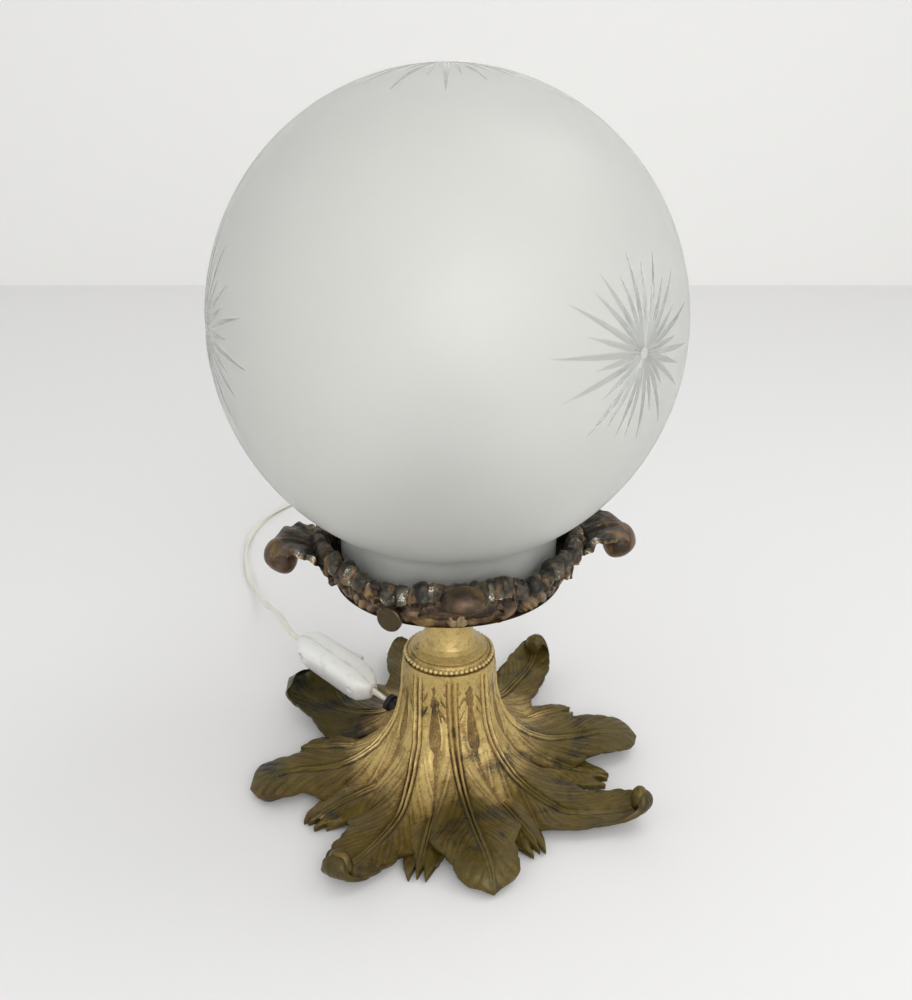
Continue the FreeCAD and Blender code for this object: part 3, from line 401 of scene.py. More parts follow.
FINISH = {
    "gilt_bronze": gilt_bronze(),
    "dark_bronze": dark_bronze(),
    # Turned brass, chemically browned, with a rubbed rim.
    "dark_brass": metal("browned_turned_brass", ("#3A3022", "#54462F"), (0.28, 0.42), 0.7),
    # Zinc-plated steel: cool grey, slightly cloudy.
    "zinc_steel": metal("zinc_plated_steel", ("#A9ADB0", "#C6C9CB")),
    "frosted_glass": etched_glass(),
    # Drawn brass sheet, lacquered.
    "holder_brass": metal("drawn_brass_sheet", ("#A98B45", "#C7A960"), (0.22, 0.35)),
    # Stamped contact brass, bare.
    "contact_brass": metal("stamped_contact_brass", ("#B08F4C", "#CDB06C"), (0.2, 0.34)),
    # Glazed steatite, off-white and glossy.
    "ceramic": plastic("glazed_steatite", ("#E4DFD2", "#EEEAE0"), (0.12, 0.22), 1.5, 0.02),
    "bulb_glass": clear_glass(),
    # Pressed aluminium screw cap, bright with a rolled grain.
    "bulb_aluminium": metal("pressed_aluminium", ("#C3C6C8", "#D8DADB"), (0.22, 0.34)),
    # Black glass bead between the cap and its contact.
    "black_glass": plastic("black_vitrite_glass", ("#0E0E10", "#17171A"), (0.08, 0.15), 1.5, 0.02),
    # Drawn tungsten wire, dull grey.
    "tungsten": metal("drawn_tungsten_wire", ("#55585C", "#6C7074"), (0.35, 0.5)),
    # Moulded rubber bush, matt black.
    "black_rubber": plastic("moulded_black_rubber", ("#151514", "#20201E"), (0.6, 0.75), 0.5, 0.05),
    # Extruded soft PVC, off-white, slightly yellowed and evenly satin.
    "flex_pvc": plastic("extruded_soft_pvc", ("#DDDACC", "#E8E5D9"), (0.35, 0.5), 0.6, 0.03),
    # Injection-moulded ABS, white, with grey smudges and a grey-brown band along its bottom edge and seam.
    "white_plastic": white_abs(),
    # Nickel-plated brass pins, bright.
    "nickel_brass": metal("nickel_plated_brass", ("#C4C3BC", "#D9D8D2"), (0.14, 0.26)),
}


# ---------------------------------------------------------------------- camera

CAMERA_PLACE = (0.0043, -0.523, 0.400)
CAMERA_TILT = math.radians(66.7)
camera_data = bpy.data.cameras.new("camera")
camera_data.sensor_width = 36.0
camera_data.lens = 36.0
camera = bpy.data.objects.new("camera", camera_data)
camera.location = CAMERA_PLACE
camera.rotation_euler = (CAMERA_TILT, 0.0, 0.0)
bpy.context.scene.collection.objects.link(camera)
bpy.context.scene.camera = camera


# ------------------------------------------------------------------------ flex

FLEX_WIDTH = 5.0
FLEX_CORE = 2.5
TWIST_MM = 150.0
TWIST_START = 0.9
FLEX_STEP = 1.6
FLOOR_Z = FLEX_WIDTH / 2

SWITCH_NEAR = Vector((-49.8, 26.8, 28.0))
SWITCH_FAR = Vector((-100.3, 62.8, 43.4))
ALONG = (SWITCH_FAR - SWITCH_NEAR).normalized()
MOUTH = SWITCH_NEAR - ALONG * 13.0
RUN = [(-119, 93, 44), (-130, 123, 34), (-142, 157, 18), (-154, 191, 6.5), (-170, 227, FLOOR_Z),
       (-178, 257, FLOOR_Z), (-186, 290, FLOOR_Z), (-187, 321, FLOOR_Z), (-181, 350, FLOOR_Z),
       (-171, 376, FLOOR_Z), (-157, 397, FLOOR_Z), (-135, 408, FLOOR_Z), (-106, 411, FLOOR_Z),
       (-74, 409, FLOOR_Z), (-45, 409, FLOOR_Z)]
TAIL = [(-22, 412.2, 8.9), (-9, 411.4, 8.2), (5, 410.2, 7.2), (18, 409.8, 6.85), (26, 409.8, 6.85),
        (29, 409.8, 6.85)]
COIL_CENTRE = (-40.0, 369.8)
COIL_START_R = 39.2
COIL_PITCH = 6.4
COIL_IN = 5
COIL_OUT = 6
STEPS_PER_HALF = 8


def coil_turns():
    """The coil's control points: half turns that spiral in on the floor, climb a layer and spiral out."""
    x, y = COIL_CENTRE[0], COIL_CENTRE[1] + COIL_START_R
    side = 1
    radius = COIL_START_R
    z = FLOOR_Z
    points = []
    swell = 1 / math.cos(math.pi / STEPS_PER_HALF / 2)
    moves = [(-COIL_PITCH / 2, 0.0)] * COIL_IN + [(0.0, COIL_PITCH)] + [(COIL_PITCH / 2, 0.0)] * COIL_OUT
    for step, climb in moves:
        for k in range(STEPS_PER_HALF):
            part = (k + 0.5) / STEPS_PER_HALF
            now = (radius + step / 2) * swell
            turn = math.pi * part
            centre_y = y - side * (radius + step / 2)
            points.append((x + side * now * math.sin(turn), centre_y + side * now * math.cos(turn),
                           z + climb * part))
        y -= side * (2 * radius + step)
        z += climb
        radius += step
        side = -side
    return points


def flex_points():
    """The route's points from the bush in the foot, through the switch, to the plug."""
    straight = (MOUTH, SWITCH_NEAR, SWITCH_NEAR + ALONG * 30, SWITCH_FAR, SWITCH_FAR + ALONG * 11)
    return [tuple(point) for point in straight] + RUN + coil_turns() + TAIL


def spline_points(points, name):
    """Points along the smooth NURBS line that has these control points, in mm."""
    curve = bpy.data.curves.new(name, "CURVE")
    curve.dimensions = "3D"
    spline = curve.splines.new("NURBS")
    spline.points.add(len(points) - 1)
    for target, point in zip(spline.points, points):
        target.co = (point[0] * MM, point[1] * MM, point[2] * MM, 1.0)
    spline.order_u = 3
    spline.use_endpoint_u = True
    spline.resolution_u = 10
    holder = bpy.data.objects.new(name, curve)
    line = bpy.data.meshes.new_from_object(holder)
    found = np.array([v.co for v in line.vertices]) / MM
    bpy.data.objects.remove(holder)
    bpy.data.curves.remove(curve)
    bpy.data.meshes.remove(line)
    return found


def sides_along(path):
    """Two directions across a path at each of its points, which turn no more than they must."""
    way = np.gradient(path, axis=0)
    way /= np.linalg.norm(way, axis=1, keepdims=True)
    side = np.cross(way[0], (0, 0, 1.0))
    side /= np.linalg.norm(side)
    sides = []
    for w in way:
        side = side - w * np.dot(side, w)
        side /= np.linalg.norm(side)
        sides.append(side)
    sides = np.array(sides)
    return sides, np.cross(way, sides)


def evenly(path, step):
    """The path's points spaced evenly, about step mm apart."""
    run = np.concatenate([[0], np.cumsum(np.linalg.norm(np.diff(path, axis=0), axis=1))])
    marks = np.linspace(0, run[-1], int(run[-1] / step) + 1)
    return np.stack([np.interp(marks, run, path[:, k]) for k in range(3)], axis=1), marks


def flex_section(steps=10):
    """Half the flex's figure-eight section: two round cores side by side with a web between them."""
    centre = (FLEX_WIDTH - FLEX_CORE) / 2
    radius = FLEX_CORE / 2
    left = [(-centre - radius * math.cos(a), radius * math.sin(a))
            for a in np.linspace(-math.pi * 0.67, math.pi * 0.67, steps)]
    right = [(-x, -y) for x, y in left]
    return np.array(left + right)


def flex():
    """The twisted twin flex as one mesh, left out where the switch hides it."""
    path, marks = evenly(spline_points(flex_points(), "flex_line"), FLEX_STEP)
    side, up = sides_along(path)
    twist = 2 * math.pi * marks / TWIST_MM + TWIST_START
    near = np.argmin(np.linalg.norm(path - np.array(SWITCH_NEAR), axis=1))
    far = np.argmin(np.linalg.norm(path - np.array(SWITCH_FAR), axis=1))
    section = flex_section()
    parts = []
    for first, last in ((0, near + 2), (far - 2, len(path))):
        span = slice(first, last)
        cos, sin = np.cos(twist[span])[:, None], np.sin(twist[span])[:, None]
        wide = cos * side[span] + sin * up[span]
        thick = -sin * side[span] + cos * up[span]
        grid = path[span][:, None] + section[None, :, :1] * wide[:, None]
        grid = grid + section[None, :, 1:] * thick[:, None]
        rows, cols = grid.shape[:2]
        faces = [list(f) for f in grid_faces(rows, cols, closed=True)]
        faces += [list(range(cols))[::-1], list(range((rows - 1) * cols, rows * cols))]
        parts.append((grid.reshape(-1, 3), faces, np.zeros(rows * cols)))
    points, faces, _ = gather(parts)
    made = piece("twin_flex", points, faces, FINISH["flex_pvc"], "lamp")
    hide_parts("cord_lead", "cord_run", "cord_coil", "cord_tail")


flex()


# ---------------------------------------------------------------------- switch

SWITCH_SIDE_UP = Vector((-0.014, -0.408, 0.912))
SWITCH_ROCKER_X = 30.0
ROCKER_HOLE = (11.45, 6.45)
SWITCH_HOLLOW = (16.0, 9.9)
FLEX_HOLE_R = 2.55
SCREW_HOLE_R = 2.5
SWITCH_SCREWS = ((11.0, 3.5), (54.0, 3.5))
BORE_SIDES = 24
ROUNDING = 0.62


def in_switch(points):
    """Moves points from the switch's frame to the lamp's: x along it, y to its upper side, z up."""
    along = np.array(ALONG)
    side = np.array(SWITCH_SIDE_UP) - along * np.dot(SWITCH_SIDE_UP, along)
    side /= np.linalg.norm(side)
    return np.array(SWITCH_NEAR) + np.asarray(points, float) @ np.array([along, side, np.cross(along, side)])


def block(low, high):
    """A box as points and faces."""
    points = [(x, y, z) for x in (low[0], high[0]) for y in (low[1], high[1]) for z in (low[2], high[2])]
    return points, [(0, 1, 3, 2), (4, 6, 7, 5), (0, 4, 5, 1), (2, 3, 7, 6), (0, 2, 6, 4), (1, 5, 7, 3)]


def bore(start, way, radius, length):
    """A round cutter from a start point along an axis, 0 for x or 2 for z."""
    points = []
    for far in (0.0, length):
        for a in np.linspace(0, 2 * math.pi, BORE_SIDES, endpoint=False):
            ring = [radius * math.cos(a), radius * math.sin(a)]
            ring.insert(way, far)
            points.append(tuple(np.array(start) + ring))
    ring = list(range(BORE_SIDES))
    sides = [(a, b, BORE_SIDES + b, BORE_SIDES + a) for a, b in zip(ring, ring[1:] + ring[:1])]
    return points, sides + [tuple(ring[::-1]), tuple(k + BORE_SIDES for k in ring)]


def face_outwards(made):
    """Turns every face of a closed mesh outwards."""
    bm = bmesh.new()
    bm.from_mesh(made.data)
    bmesh.ops.recalc_face_normals(bm, faces=bm.faces)
    bm.to_mesh(made.data)
    bm.free()


def carve(made, cutters, finish):
    """Takes cutters, each (points in mm, faces), away from a mesh; the cut surfaces get the finish."""
    for points, faces in cutters:
        cutter = piece("cutter", points, faces, finish, "lamp")
        face_outwards(cutter)
        cut = made.modifiers.new("cut", "BOOLEAN")
        cut.operation = "DIFFERENCE"
        cut.solver = "EXACT"
        cut.material_mode = "TRANSFER"
        cut.object = cutter
        with bpy.context.temp_override(object=made, active_object=made):
            bpy.ops.object.modifier_apply(modifier=cut.name)
        bpy.data.objects.remove(cutter)


def switch_half(name, sign, replaced):
    """One half of the switch's rounded body, split along its seam, with its openings."""
    length = (SWITCH_FAR - SWITCH_NEAR).length
    ends = 9.0 if sign > 0 else 7.0
    x = np.concatenate([np.linspace(0, 1, 5)[:-1] ** 2 * 1.4, np.linspace(1.4, 18, 24)])
    x = np.concatenate([x, length - x[::-1]])
    near = np.minimum(x, length - x)
    wide = np.interp(near, [0, 0.5, 1.4, 4, 8, 13, 18], [6.0, 6.9, 7.6, 9.1, 11.1, 12.2, 12.4])
    deep = np.interp(near, [0, 0.5, 1.4, 3.5, ends, ends + 5], [3.9, 4.7, 5.4, 7.4, 10.2, 10.9])
    arc = np.linspace(0, math.pi, 33)
    y = np.sign(np.cos(arc)) * np.abs(np.cos(arc)) ** ROUNDING
    z = np.sin(arc) ** ROUNDING
    rows = []
    for at, w, d in zip(x, wide, deep):
        lip = [(w - 0.7, 0.0), (w - 0.7, 0.45)]
        body = [(w * a, 0.6 + (d - 0.6) * b) for a, b in zip(y, z)]
        rows.append([(at, a, sign * b) for a, b in lip + body + [(-a, b) for a, b in lip[::-1]]])
    grid = np.array(rows)
    count, cols = grid.shape[:2]
    faces = [list(f) for f in grid_faces(count, cols, closed=True)]
    faces += [list(range(cols)), list(range((count - 1) * cols, count * cols))]
    finish = FINISH["white_plastic"]
    made = piece(name, in_switch(grid.reshape(-1, 3)), faces, finish, "lamp")
    face_outwards(made)
    low, high = sorted((-1.0 * sign, 9.0 * sign))
    inset, side = SWITCH_HOLLOW
    cutters = [block((inset, -side, low), (length - inset, side, high))]
    cutters += [bore((start, 0, 0), 0, FLEX_HOLE_R, 19.0) for start in (-1.0, length - 18)]
    if sign > 0:
        half, side = ROCKER_HOLE
        cutters.append(block((SWITCH_ROCKER_X - half, -side, 1.5), (SWITCH_ROCKER_X + half, side, 14)))
    else:
        cutters += [bore((a, b, -12.0), 2, SCREW_HOLE_R, 5.5) for a, b in SWITCH_SCREWS]
    carve(made, [(in_switch(points), sides) for points, sides in cutters], finish)
    made.data.set_sharp_from_angle(angle=math.radians(32))
    places = np.array([v.co for v in made.data.vertices]) / MM
    local = (places - np.array(SWITCH_NEAR)) @ np.linalg.inv(in_switch(np.eye(3)) - np.array(SWITCH_NEAR))
    # A grey-brown band, strongest along the bottom edge next to the seam and faint all along the seam.
    lower_edge_band = np.exp(-((local[:, 1] + 9) / 5.0) ** 2) * np.exp(-((local[:, 2] + 3) / 5.0) ** 2)
    lower_edge_band = np.maximum(lower_edge_band, 0.3 * np.exp(-(local[:, 2] / 0.7) ** 2))
    made.data.attributes.new("lower_edge_band", "FLOAT", "POINT").data.foreach_set("value", lower_edge_band.astype(float))
    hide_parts(replaced)


switch_half("switch_lower_shell", -1, "switch_base")
switch_half("switch_upper_shell", 1, "switch_cover")


# ------------------------------------------------------------------------ foot

COLUMN_TOP = 74.0
BELL = [(28.0, COLUMN_TOP), (28.4, 60.0), (29.8, 46.0), (33.0, 34.0), (38.5, 24.0)]
COLUMN_PHASE = -86.0
LEAF_GRID = (250, 81)
LOBE_GRID = (60, 41)
SLOT_PITCH = 8.5
LOWEST = 0.6
# The direction of the leaf that lies in the switch's shade; its outer part is darkened with painted shade
SWITCH_SHADED_LEAF = 154
# tip direction, root direction, half width, rise of the edges over the midrib, tip's share of the width,
# where the gaps on its two sides begin, then the midrib's (radius, z) points
FOOT_LEAVES = [
    (-79, -80, 21, -5.0, 0.8, 98, 104,
     [(47.5, 15.5), (62, 10.5), (78, 11), (95, 15), (110, 16), (120, 13), (125.5, 7), (126.4, 3)]),
    (-116.5, -113, 20, 0.5, 0.42, 104, 96,
     [(47.5, 14.8), (62, 8.5), (80, 6.5), (98, 8), (114, 7.5), (124, 8), (131, 12), (131.5, 17.5),
      (127, 19.5)]),
    (-160, -161, 19.5, -2.5, 0.85, 96, 86,
     [(47.5, 15), (62, 9), (80, 8), (98, 11), (114, 11), (122, 9), (126.5, 6)]),
    (SWITCH_SHADED_LEAF, 156, 25, 8.0, 0.8, 86, 84,
     [(47.5, 15.5), (62, 11), (80, 10), (96, 12), (108, 14), (116, 18), (119.5, 22)]),
    (108, 108, 17, 1.0, 0.5, 84, 84,
     [(47.5, 14.8), (62, 8.5), (80, 7), (98, 9), (112, 9.5), (119, 12), (121.5, 15)]),
    (58, 55, 17, 3.0, 0.5, 84, 72,
     [(47.5, 14.8), (62, 9), (80, 8.5), (98, 11), (110, 13), (117, 18), (117.5, 23), (113, 25)]),
    (2, 1, 21, -1.0, 0.7, 72, 88,
     [(47.5, 15), (62, 10), (80, 11), (95, 14), (108, 13.5), (115, 11.5), (119.5, 9)]),
    (-32, -44, 21.5, 2.0, 0.34, 88, 98,
     [(47.5, 14.8), (62, 8.5), (80, 6.8), (98, 7.5), (116, 8), (126, 11), (132, 17), (130.5, 22),
      (126.5, 22.5)]),
]
# Rounded ends of the leaves that curl up: direction, radius, height, half sizes
FOOT_KNOBS = [(-116.5, 127.2, 14.0, (7.4, 5.0, 9.6)), (-32, 128.0, 19.0, (5.4, 5.0, 8.2)),
              (58, 114.0, 19.5, (6.4, 4.8, 7.6))]
# The notched lobes in the gaps between leaves: direction, reach, half width, height
FOOT_LOBES = [(-62, 104, 10, 9), (-98, 110, 12, 8), (-137, 104, 13, 9), (-177, 91, 12, 9),
              (131, 92, 11, 8), (80, 92, 11, 8), (26, 87, 11, 9), (-18, 98, 12, 8)]

# The column's wall behind the leaves, (radius, z) up its hollow inside, over its bored top and down again
COLUMN_INSIDE = [(66.0, 0.4), (52.0, 4.6), (41.5, 11.0), (33.5, 20.5), (28.6, 32.0), (25.6, 45.0),
                 (24.0, 67.0), (5.1, 67.0), (5.1, COLUMN_TOP - 0.1), (27.6, COLUMN_TOP - 0.1), (27.8, 60.0),
                 (29.0, 46.0), (31.5, 34.0), (36.5, 23.0), (45.0, 13.0), (60.0, 5.0), (74.0, 0.4)]
INSIDE_SIDES = 128


def vein_relief(s, x, edge, length, seed):
    """Height of the carving in mm: a double midrib, forward side veins, and fine strokes between them."""
    rib_gap = np.interp(s, [0, 45, 80, 120], [2.0, 1.8, 1.2, 0.8])
    rib_high = np.interp(s, [0, 3, 8, 60, 110, length], [0, 0.1, 0.9, 1.2, 0.8, 0.1])
    rib_wide = np.interp(s, [0, 80], [0.5, 0.7])
    rib = rib_high * np.exp(-((x - rib_gap) / rib_wide) ** 2)
    beside = 0.8 * np.exp(-((x - rib_gap - 1.4) / 0.5) ** 2)
    groove = -0.6 * rib_high * (np.exp(-(x / (rib_gap * 0.42)) ** 2) + beside)
    slant = np.interp(s, [0, 45, 75, 110, 160], [7.0, 4.2, 2.6, 1.9, 1.7])
    origin = s - slant * np.maximum(x - rib_gap, 0)
    marks = np.linspace(-150, 220, 371)
    pitch = np.interp(marks, [0, 45, 80, 115], [34.0, 24.0, 15.0, 11.5])
    phase = np.interp(origin, marks, np.cumsum(1 / pitch)) + seed * 0.37
    part = phase - np.floor(phase)
    sharp = np.minimum(part, 1 - part) * np.interp(origin, marks, pitch) / np.sqrt(1 + slant ** 2)
    clear = smooth_step(1.0, 4.5, x - rib_gap) * smooth_step(8, 26, s) * smooth_step(0.0, 3.5, edge)
    ends = 1 - smooth_step(length - 34, length - 18, s)
    vein = np.interp(s, [25, 50, 60, 90], [0.0, 0.4, 1.1, 0.9]) * np.exp(-(sharp / 0.75) ** 2) * clear * ends
    billow = np.interp(s, [20, 60], [0.1, 1.0]) * (np.sin(math.pi * part) ** 0.8 - 0.5) * clear
    billow *= 0.35 + 0.65 * ends
    strokes = 0.13 * np.sin(2 * math.pi * phase * 5) * clear * (0.4 + 0.6 * ends) * smooth_step(75, 95, s)
    slot = ((s + 1.9 * x) / SLOT_PITCH + 0.3 * seed) % 1.0
    engraved = -0.45 * np.exp(-((slot - 0.5) * SLOT_PITCH / 1.1) ** 2)
    engraved *= smooth_step(3.6, 4.6, x) * (1 - smooth_step(6.5, 8.0, x))
    engraved *= smooth_step(9, 13, s) * (1 - smooth_step(28, 34, s))
    return rib + groove + vein + billow + strokes + engraved, part


def foot_leaf(leaf, before, after, seed):
    """One leaf of the foot, from the column's top to its tip, as a plate."""
    tip_way, root_way, half, cup, tip_share, gap_before, gap_after, own = leaf
    rows, cols = LEAF_GRID
    line, s = through(BELL + own, rows)
    r, z = line[:, 0:1], line[:, 1:2]
    length = s[-1]
    s = s[:, None]
    u = np.linspace(-1, 1, cols)[None, :]
    top_way = COLUMN_PHASE - 45.0 * seed
    bend = (root_way - top_way + 180) % 360 - 180
    flow = smooth_step(10, 95, s)
    furthest = np.maximum.accumulate(r, axis=0)
    middle = top_way + bend * flow + ((tip_way - root_way + 180) % 360 - 180) * smooth_step(88, 126, furthest)
    spread_before = 22.5 + ((before - root_way) % 360 / 2 - 22.5) * flow
    spread_after = 22.5 + ((root_way - after) % 360 / 2 - 22.5) * flow
    gap = np.where(u < 0, gap_after, gap_before)
    free = smooth_step(0, 1, (furthest - gap + 15) / 17)
    start = np.interp(70, line[:, 0], s[:, 0])
    t = np.clip((s - start) / (length - start), 0, 1)
    taper = np.interp(t, [0, 0.2, 0.55, 0.75, 0.88, 1.0], [1.1, 1.08, 0.95, 0.5 + 0.45 * tip_share, tip_share,
                                                           tip_share * 0.85])
    tip_round = np.sqrt(np.clip(1 - ((t - 0.82) / 0.18).clip(0, 1) ** 2.0, 0, 1))
    half_mm = np.maximum(half * taper * tip_round, 2.0)
    both = np.where(u < 0, spread_after, spread_before) * 1.012
    angle_half = np.radians(both) * (1 - free) + half_mm / r * free
    x_mm = np.abs(u) * angle_half * r
    edge_mm = (1 - np.abs(u)) * angle_half * r
    relief, part = vein_relief(s, x_mm, edge_mm, length, seed)
    notch = free * 0.05 * np.exp(-(np.minimum(part, 1 - part) / 0.2) ** 2) * smooth_step(0.6, 1.0, np.abs(u))
    notch *= smooth_step(0, 0.1, t) * (1 - smooth_step(0.66, 0.8, t))
    angle = np.radians(middle) + u * angle_half * (1 - notch)
    valley = np.interp(s, [0, 12, 40, 75, 110], [0.2, 0.6, 1.8, 3.4, 4.2]) * (1 - free)
    crown = -valley * np.abs(u) ** 2.0 + smooth_step(0.05, 0.6, t) * cup * np.abs(u) ** 2.0 * free
    tear = np.interp(s, [15, 24, 34, 42, 47, 50], [0, 1.5, 2.9, 3.6, 2.9, 0.0])
    hollow = -2.2 * np.exp(-(edge_mm / np.maximum(tear, 0.1)) ** 6) * smooth_step(0.0, 1.5, tear) * (1 - free)
    rim = 0.45 * np.exp(-((edge_mm - tear - 0.7) / 0.5) ** 2) * smooth_step(0.5, 2.0, tear)
    lift = crown + (relief + hollow + rim) * (1 - 0.7 * smooth_step(0.85, 1.0, t))
    along_r, along_z = slopes(line)
    radius = r - along_z * lift
    height = z + along_r * lift
    grid = np.stack([radius * np.cos(angle), radius * np.sin(angle), height + 0 * angle], axis=-1)
    surface = normals_of(grid)
    wave = 0.6 * rough(grid, 16.0, 1) + 0.24 * rough(grid, 4.0, 2)
    grid += surface * (wave * smooth_step(4, 20, s))[..., None]
    grid[..., 2] = np.maximum(grid[..., 2], LOWEST)
    thick = np.interp(s, [0, 60, length], [2.6, 2.6, 3.0]) * (0.55 + 0.45 * np.sqrt(1 - np.abs(u) ** 6))
    plain = np.stack([-along_z * np.cos(angle), -along_z * np.sin(angle), along_r + 0 * angle], axis=-1)
    points, faces = shell(grid, thick, plain, 0.0)
    # Painted shade: the outer part of the leaf under the switch is marked darker.
    painted_switch_shade = 0.22 * smooth_step(58, 80, s) if tip_way == SWITCH_SHADED_LEAF else 0.0
    gain = np.where(relief + rim > 0, 0.3 - 0.18 * (1 - smooth_step(45, 75, s)), 0.36)
    plate = 0.30 + 0.14 * (1 - smooth_step(30, 70, s))
    mark = plate + gain * (relief + rim) + 0.22 * hollow + 0.12 * wave - painted_switch_shade
    mark = np.clip(mark, 0, 1) + 0 * angle
    return points, faces, np.concatenate([mark.ravel(), mark.ravel() * 0.6])


def foot_lobe(lobe, seed):
    """A small notched lobe between two leaves of the foot."""
    direction, reach, half, height = lobe
    rows, cols = LOBE_GRID
    line, s = through([(56, height - 3.5), (reach - 28, height - 1.5), (reach - 14, height - 1),
                       (reach - 4, height - 1.5), (reach, height - 2.8)], rows)
    r, z, s = line[:, 0:1], line[:, 1:2], s[:, None]
    u = np.linspace(-1, 1, cols)[None, :]
    t = s / s[-1]
    half_mm = half * np.interp(t, [0, 0.4, 0.75, 0.9, 1.0], [0.9, 1.05, 0.95, 0.78, 0.5])
    x_mm = np.abs(u) * half_mm
    relief, part = vein_relief(s + 75, x_mm, half_mm, 150, seed + 3)
    scallop = 0.035 * np.cos(u * math.pi * 2.6 + seed) * smooth_step(0.6, 1.0, t)
    lift = relief * (0.8 - 0.7 * smooth_step(0.7, 0.95, t)) - 2.8 * np.abs(u) ** 2 * smooth_step(0.1, 0.7, t)
    angle = np.radians(direction) + u * half_mm / r
    radius = r * (1 + scallop)
    grid = np.stack([radius * np.cos(angle), radius * np.sin(angle), z + lift + 0 * angle], axis=-1)
    wave = 0.5 * rough(grid, 10.0, seed + 20) + 0.2 * rough(grid, 3.5, seed + 21)
    grid += normals_of(grid) * wave[..., None]
    grid[..., 2] = np.maximum(grid[..., 2], LOWEST)
    points, faces = shell(grid, 3.0, (0.0, 0.0, 1.0), 0.0)
    mark = np.clip(0.32 + 0.24 * (relief + wave), 0, 1) + 0 * angle
    return points, faces, np.concatenate([mark.ravel(), mark.ravel() * 0.6])


def nose(middle, centre, seed, half, tone):
    """The smooth swollen tip of a curled leaf, from its half sizes across, outwards and upwards."""
    local, faces = ball(48, 32, 1.0)
    across, out, up = local[:, 0], local[:, 1], local[:, 2]
    narrow = 1 - 0.16 * np.clip(-up, 0, 1) ** 1.5
    tucked = out * narrow - 0.27 * np.clip(-up, 0, 1) ** 2
    size = np.stack([half[0] * across * narrow, half[1] * tucked, half[2] * up], axis=-1)
    size *= (1 + 0.035 * rough(size, 9.0, seed + 80))[:, None]
    points = around(middle, centre[0] + size[:, 1], size[:, 0], centre[1] + size[:, 2])
    mark = np.clip(tone + 0.12 * rough(points, 8.0, seed + 81) - 0.16 * (np.abs(across) > 0.8), 0, 1)
    return points, faces, mark, np.zeros(len(points))


def foot():
    """The foot and its column: eight leaves, eight lobes, the column's hollow inside and its closed top."""
    parts = []
    roots = [leaf[1] for leaf in FOOT_LEAVES]
    for i, leaf in enumerate(FOOT_LEAVES):
        parts.append(foot_leaf(leaf, roots[i - 1], roots[(i + 1) % 8], i))
    for i, lobe in enumerate(FOOT_LOBES):
        parts.append(foot_lobe(lobe, i))
    for i, (direction, radius, height, half) in enumerate(FOOT_KNOBS):
        points, faces, mark, _ = nose(direction, (radius, height), i + 5, half, 0.48)
        parts.append((points, faces, mark * 0.8))
    points, faces = lathe(COLUMN_INSIDE, INSIDE_SIDES)
    parts.append((points, faces, np.full(len(points), 0.3)))
    points, faces, marks = gather(parts)
    radius = np.linalg.norm(points[:, :2], axis=1)
    age = smooth_step(31, 84, radius)
    made = piece("foot_casting", points, faces, FINISH["gilt_bronze"], "lamp",
                 {"relief": marks, "age": age})
    made.data.set_sharp_from_angle(angle=math.radians(55))
    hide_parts("base_casting")


foot()


# --------------------------------------------------------------- collar and waist

BEADS = 54
BEAD_R = 1.42
BEAD_RING = (26.3, 75.7)


def beaded_collar():
    """The turned ring on the column, with its row of cast beads."""
    ring = [(6.0, COLUMN_TOP), (25.6, COLUMN_TOP), (26.2, 74.6), (26.2, 75.4), (25.6, 76.0), (25.0, 76.6),
            (24.9, 77.4), (24.2, 78.3), (23.4, 78.6), (6.0, 78.6)]
    points, faces = lathe(ring, 192)
    parts = [(points, faces, np.full(len(points), 0.4))]
    ring_r, ring_z = BEAD_RING
    for k in range(BEADS):
        angle = 2 * math.pi * k / BEADS
        size = BEAD_R * (1 + 0.25 * noise.noise(Vector((k * 1.7, 0.3, 0.1))))
        local, sides = ball(10, 7, size)
        place = np.array([ring_r * math.cos(angle), ring_r * math.sin(angle), ring_z])
        # Painted light: each bead is marked lighter towards its top, a painted highlight, and darker towards
        # its underside, painted shade.
        parts.append((local * (1, 1, 1.1) + place, sides, np.clip(0.42 + 0.34 * local[:, 2] / size, 0, 1)))
    points, faces, marks = gather(parts)
    made = piece("beaded_ring", points, faces, FINISH["gilt_bronze"], "lamp",
                 {"relief": marks, "age": np.full(len(points), 0.15)})
    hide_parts("beaded_collar")


beaded_collar()


# --------------------------------------------------------------------- gallery

BOWL = [(15.0, 103.5), (32.0, 112.5), (45.0, 119.5), (56.0, 125.2), (62.0, 128.0), (66.5, 132.5),
        (69.4, 141.0)]
WALL_COLS = 1080
BOWL_ROWS = 70
ROLL_ROWS = 34
WALL_THICK = 2.6
TONGUE_GRID = (70, 61)
LEAFLET_GRID = (34, 25)
LEAFLET_ROOT = (68.5, 142.0)
# The (radius, z) lines of the tongues, and the half sizes of their noses
SHORT_TONGUE = [(66, 138), (68.8, 143), (73, 149.5), (77, 154.5), (80, 156)]
LEFT_TONGUE = [(66, 138), (69.5, 144.5), (77, 151.5), (86, 156), (94, 157.5), (100, 155), (104.5, 149.5)]
RIGHT_TONGUE = [(66, 138), (69.5, 145), (78, 153), (88, 158), (97, 159.5), (103, 157), (107.5, 151.5)]
WIDE_NOSE = (12.3, 8.5, 8.0)
ROUND_NOSE = (11.2, 9.6, 10.6)
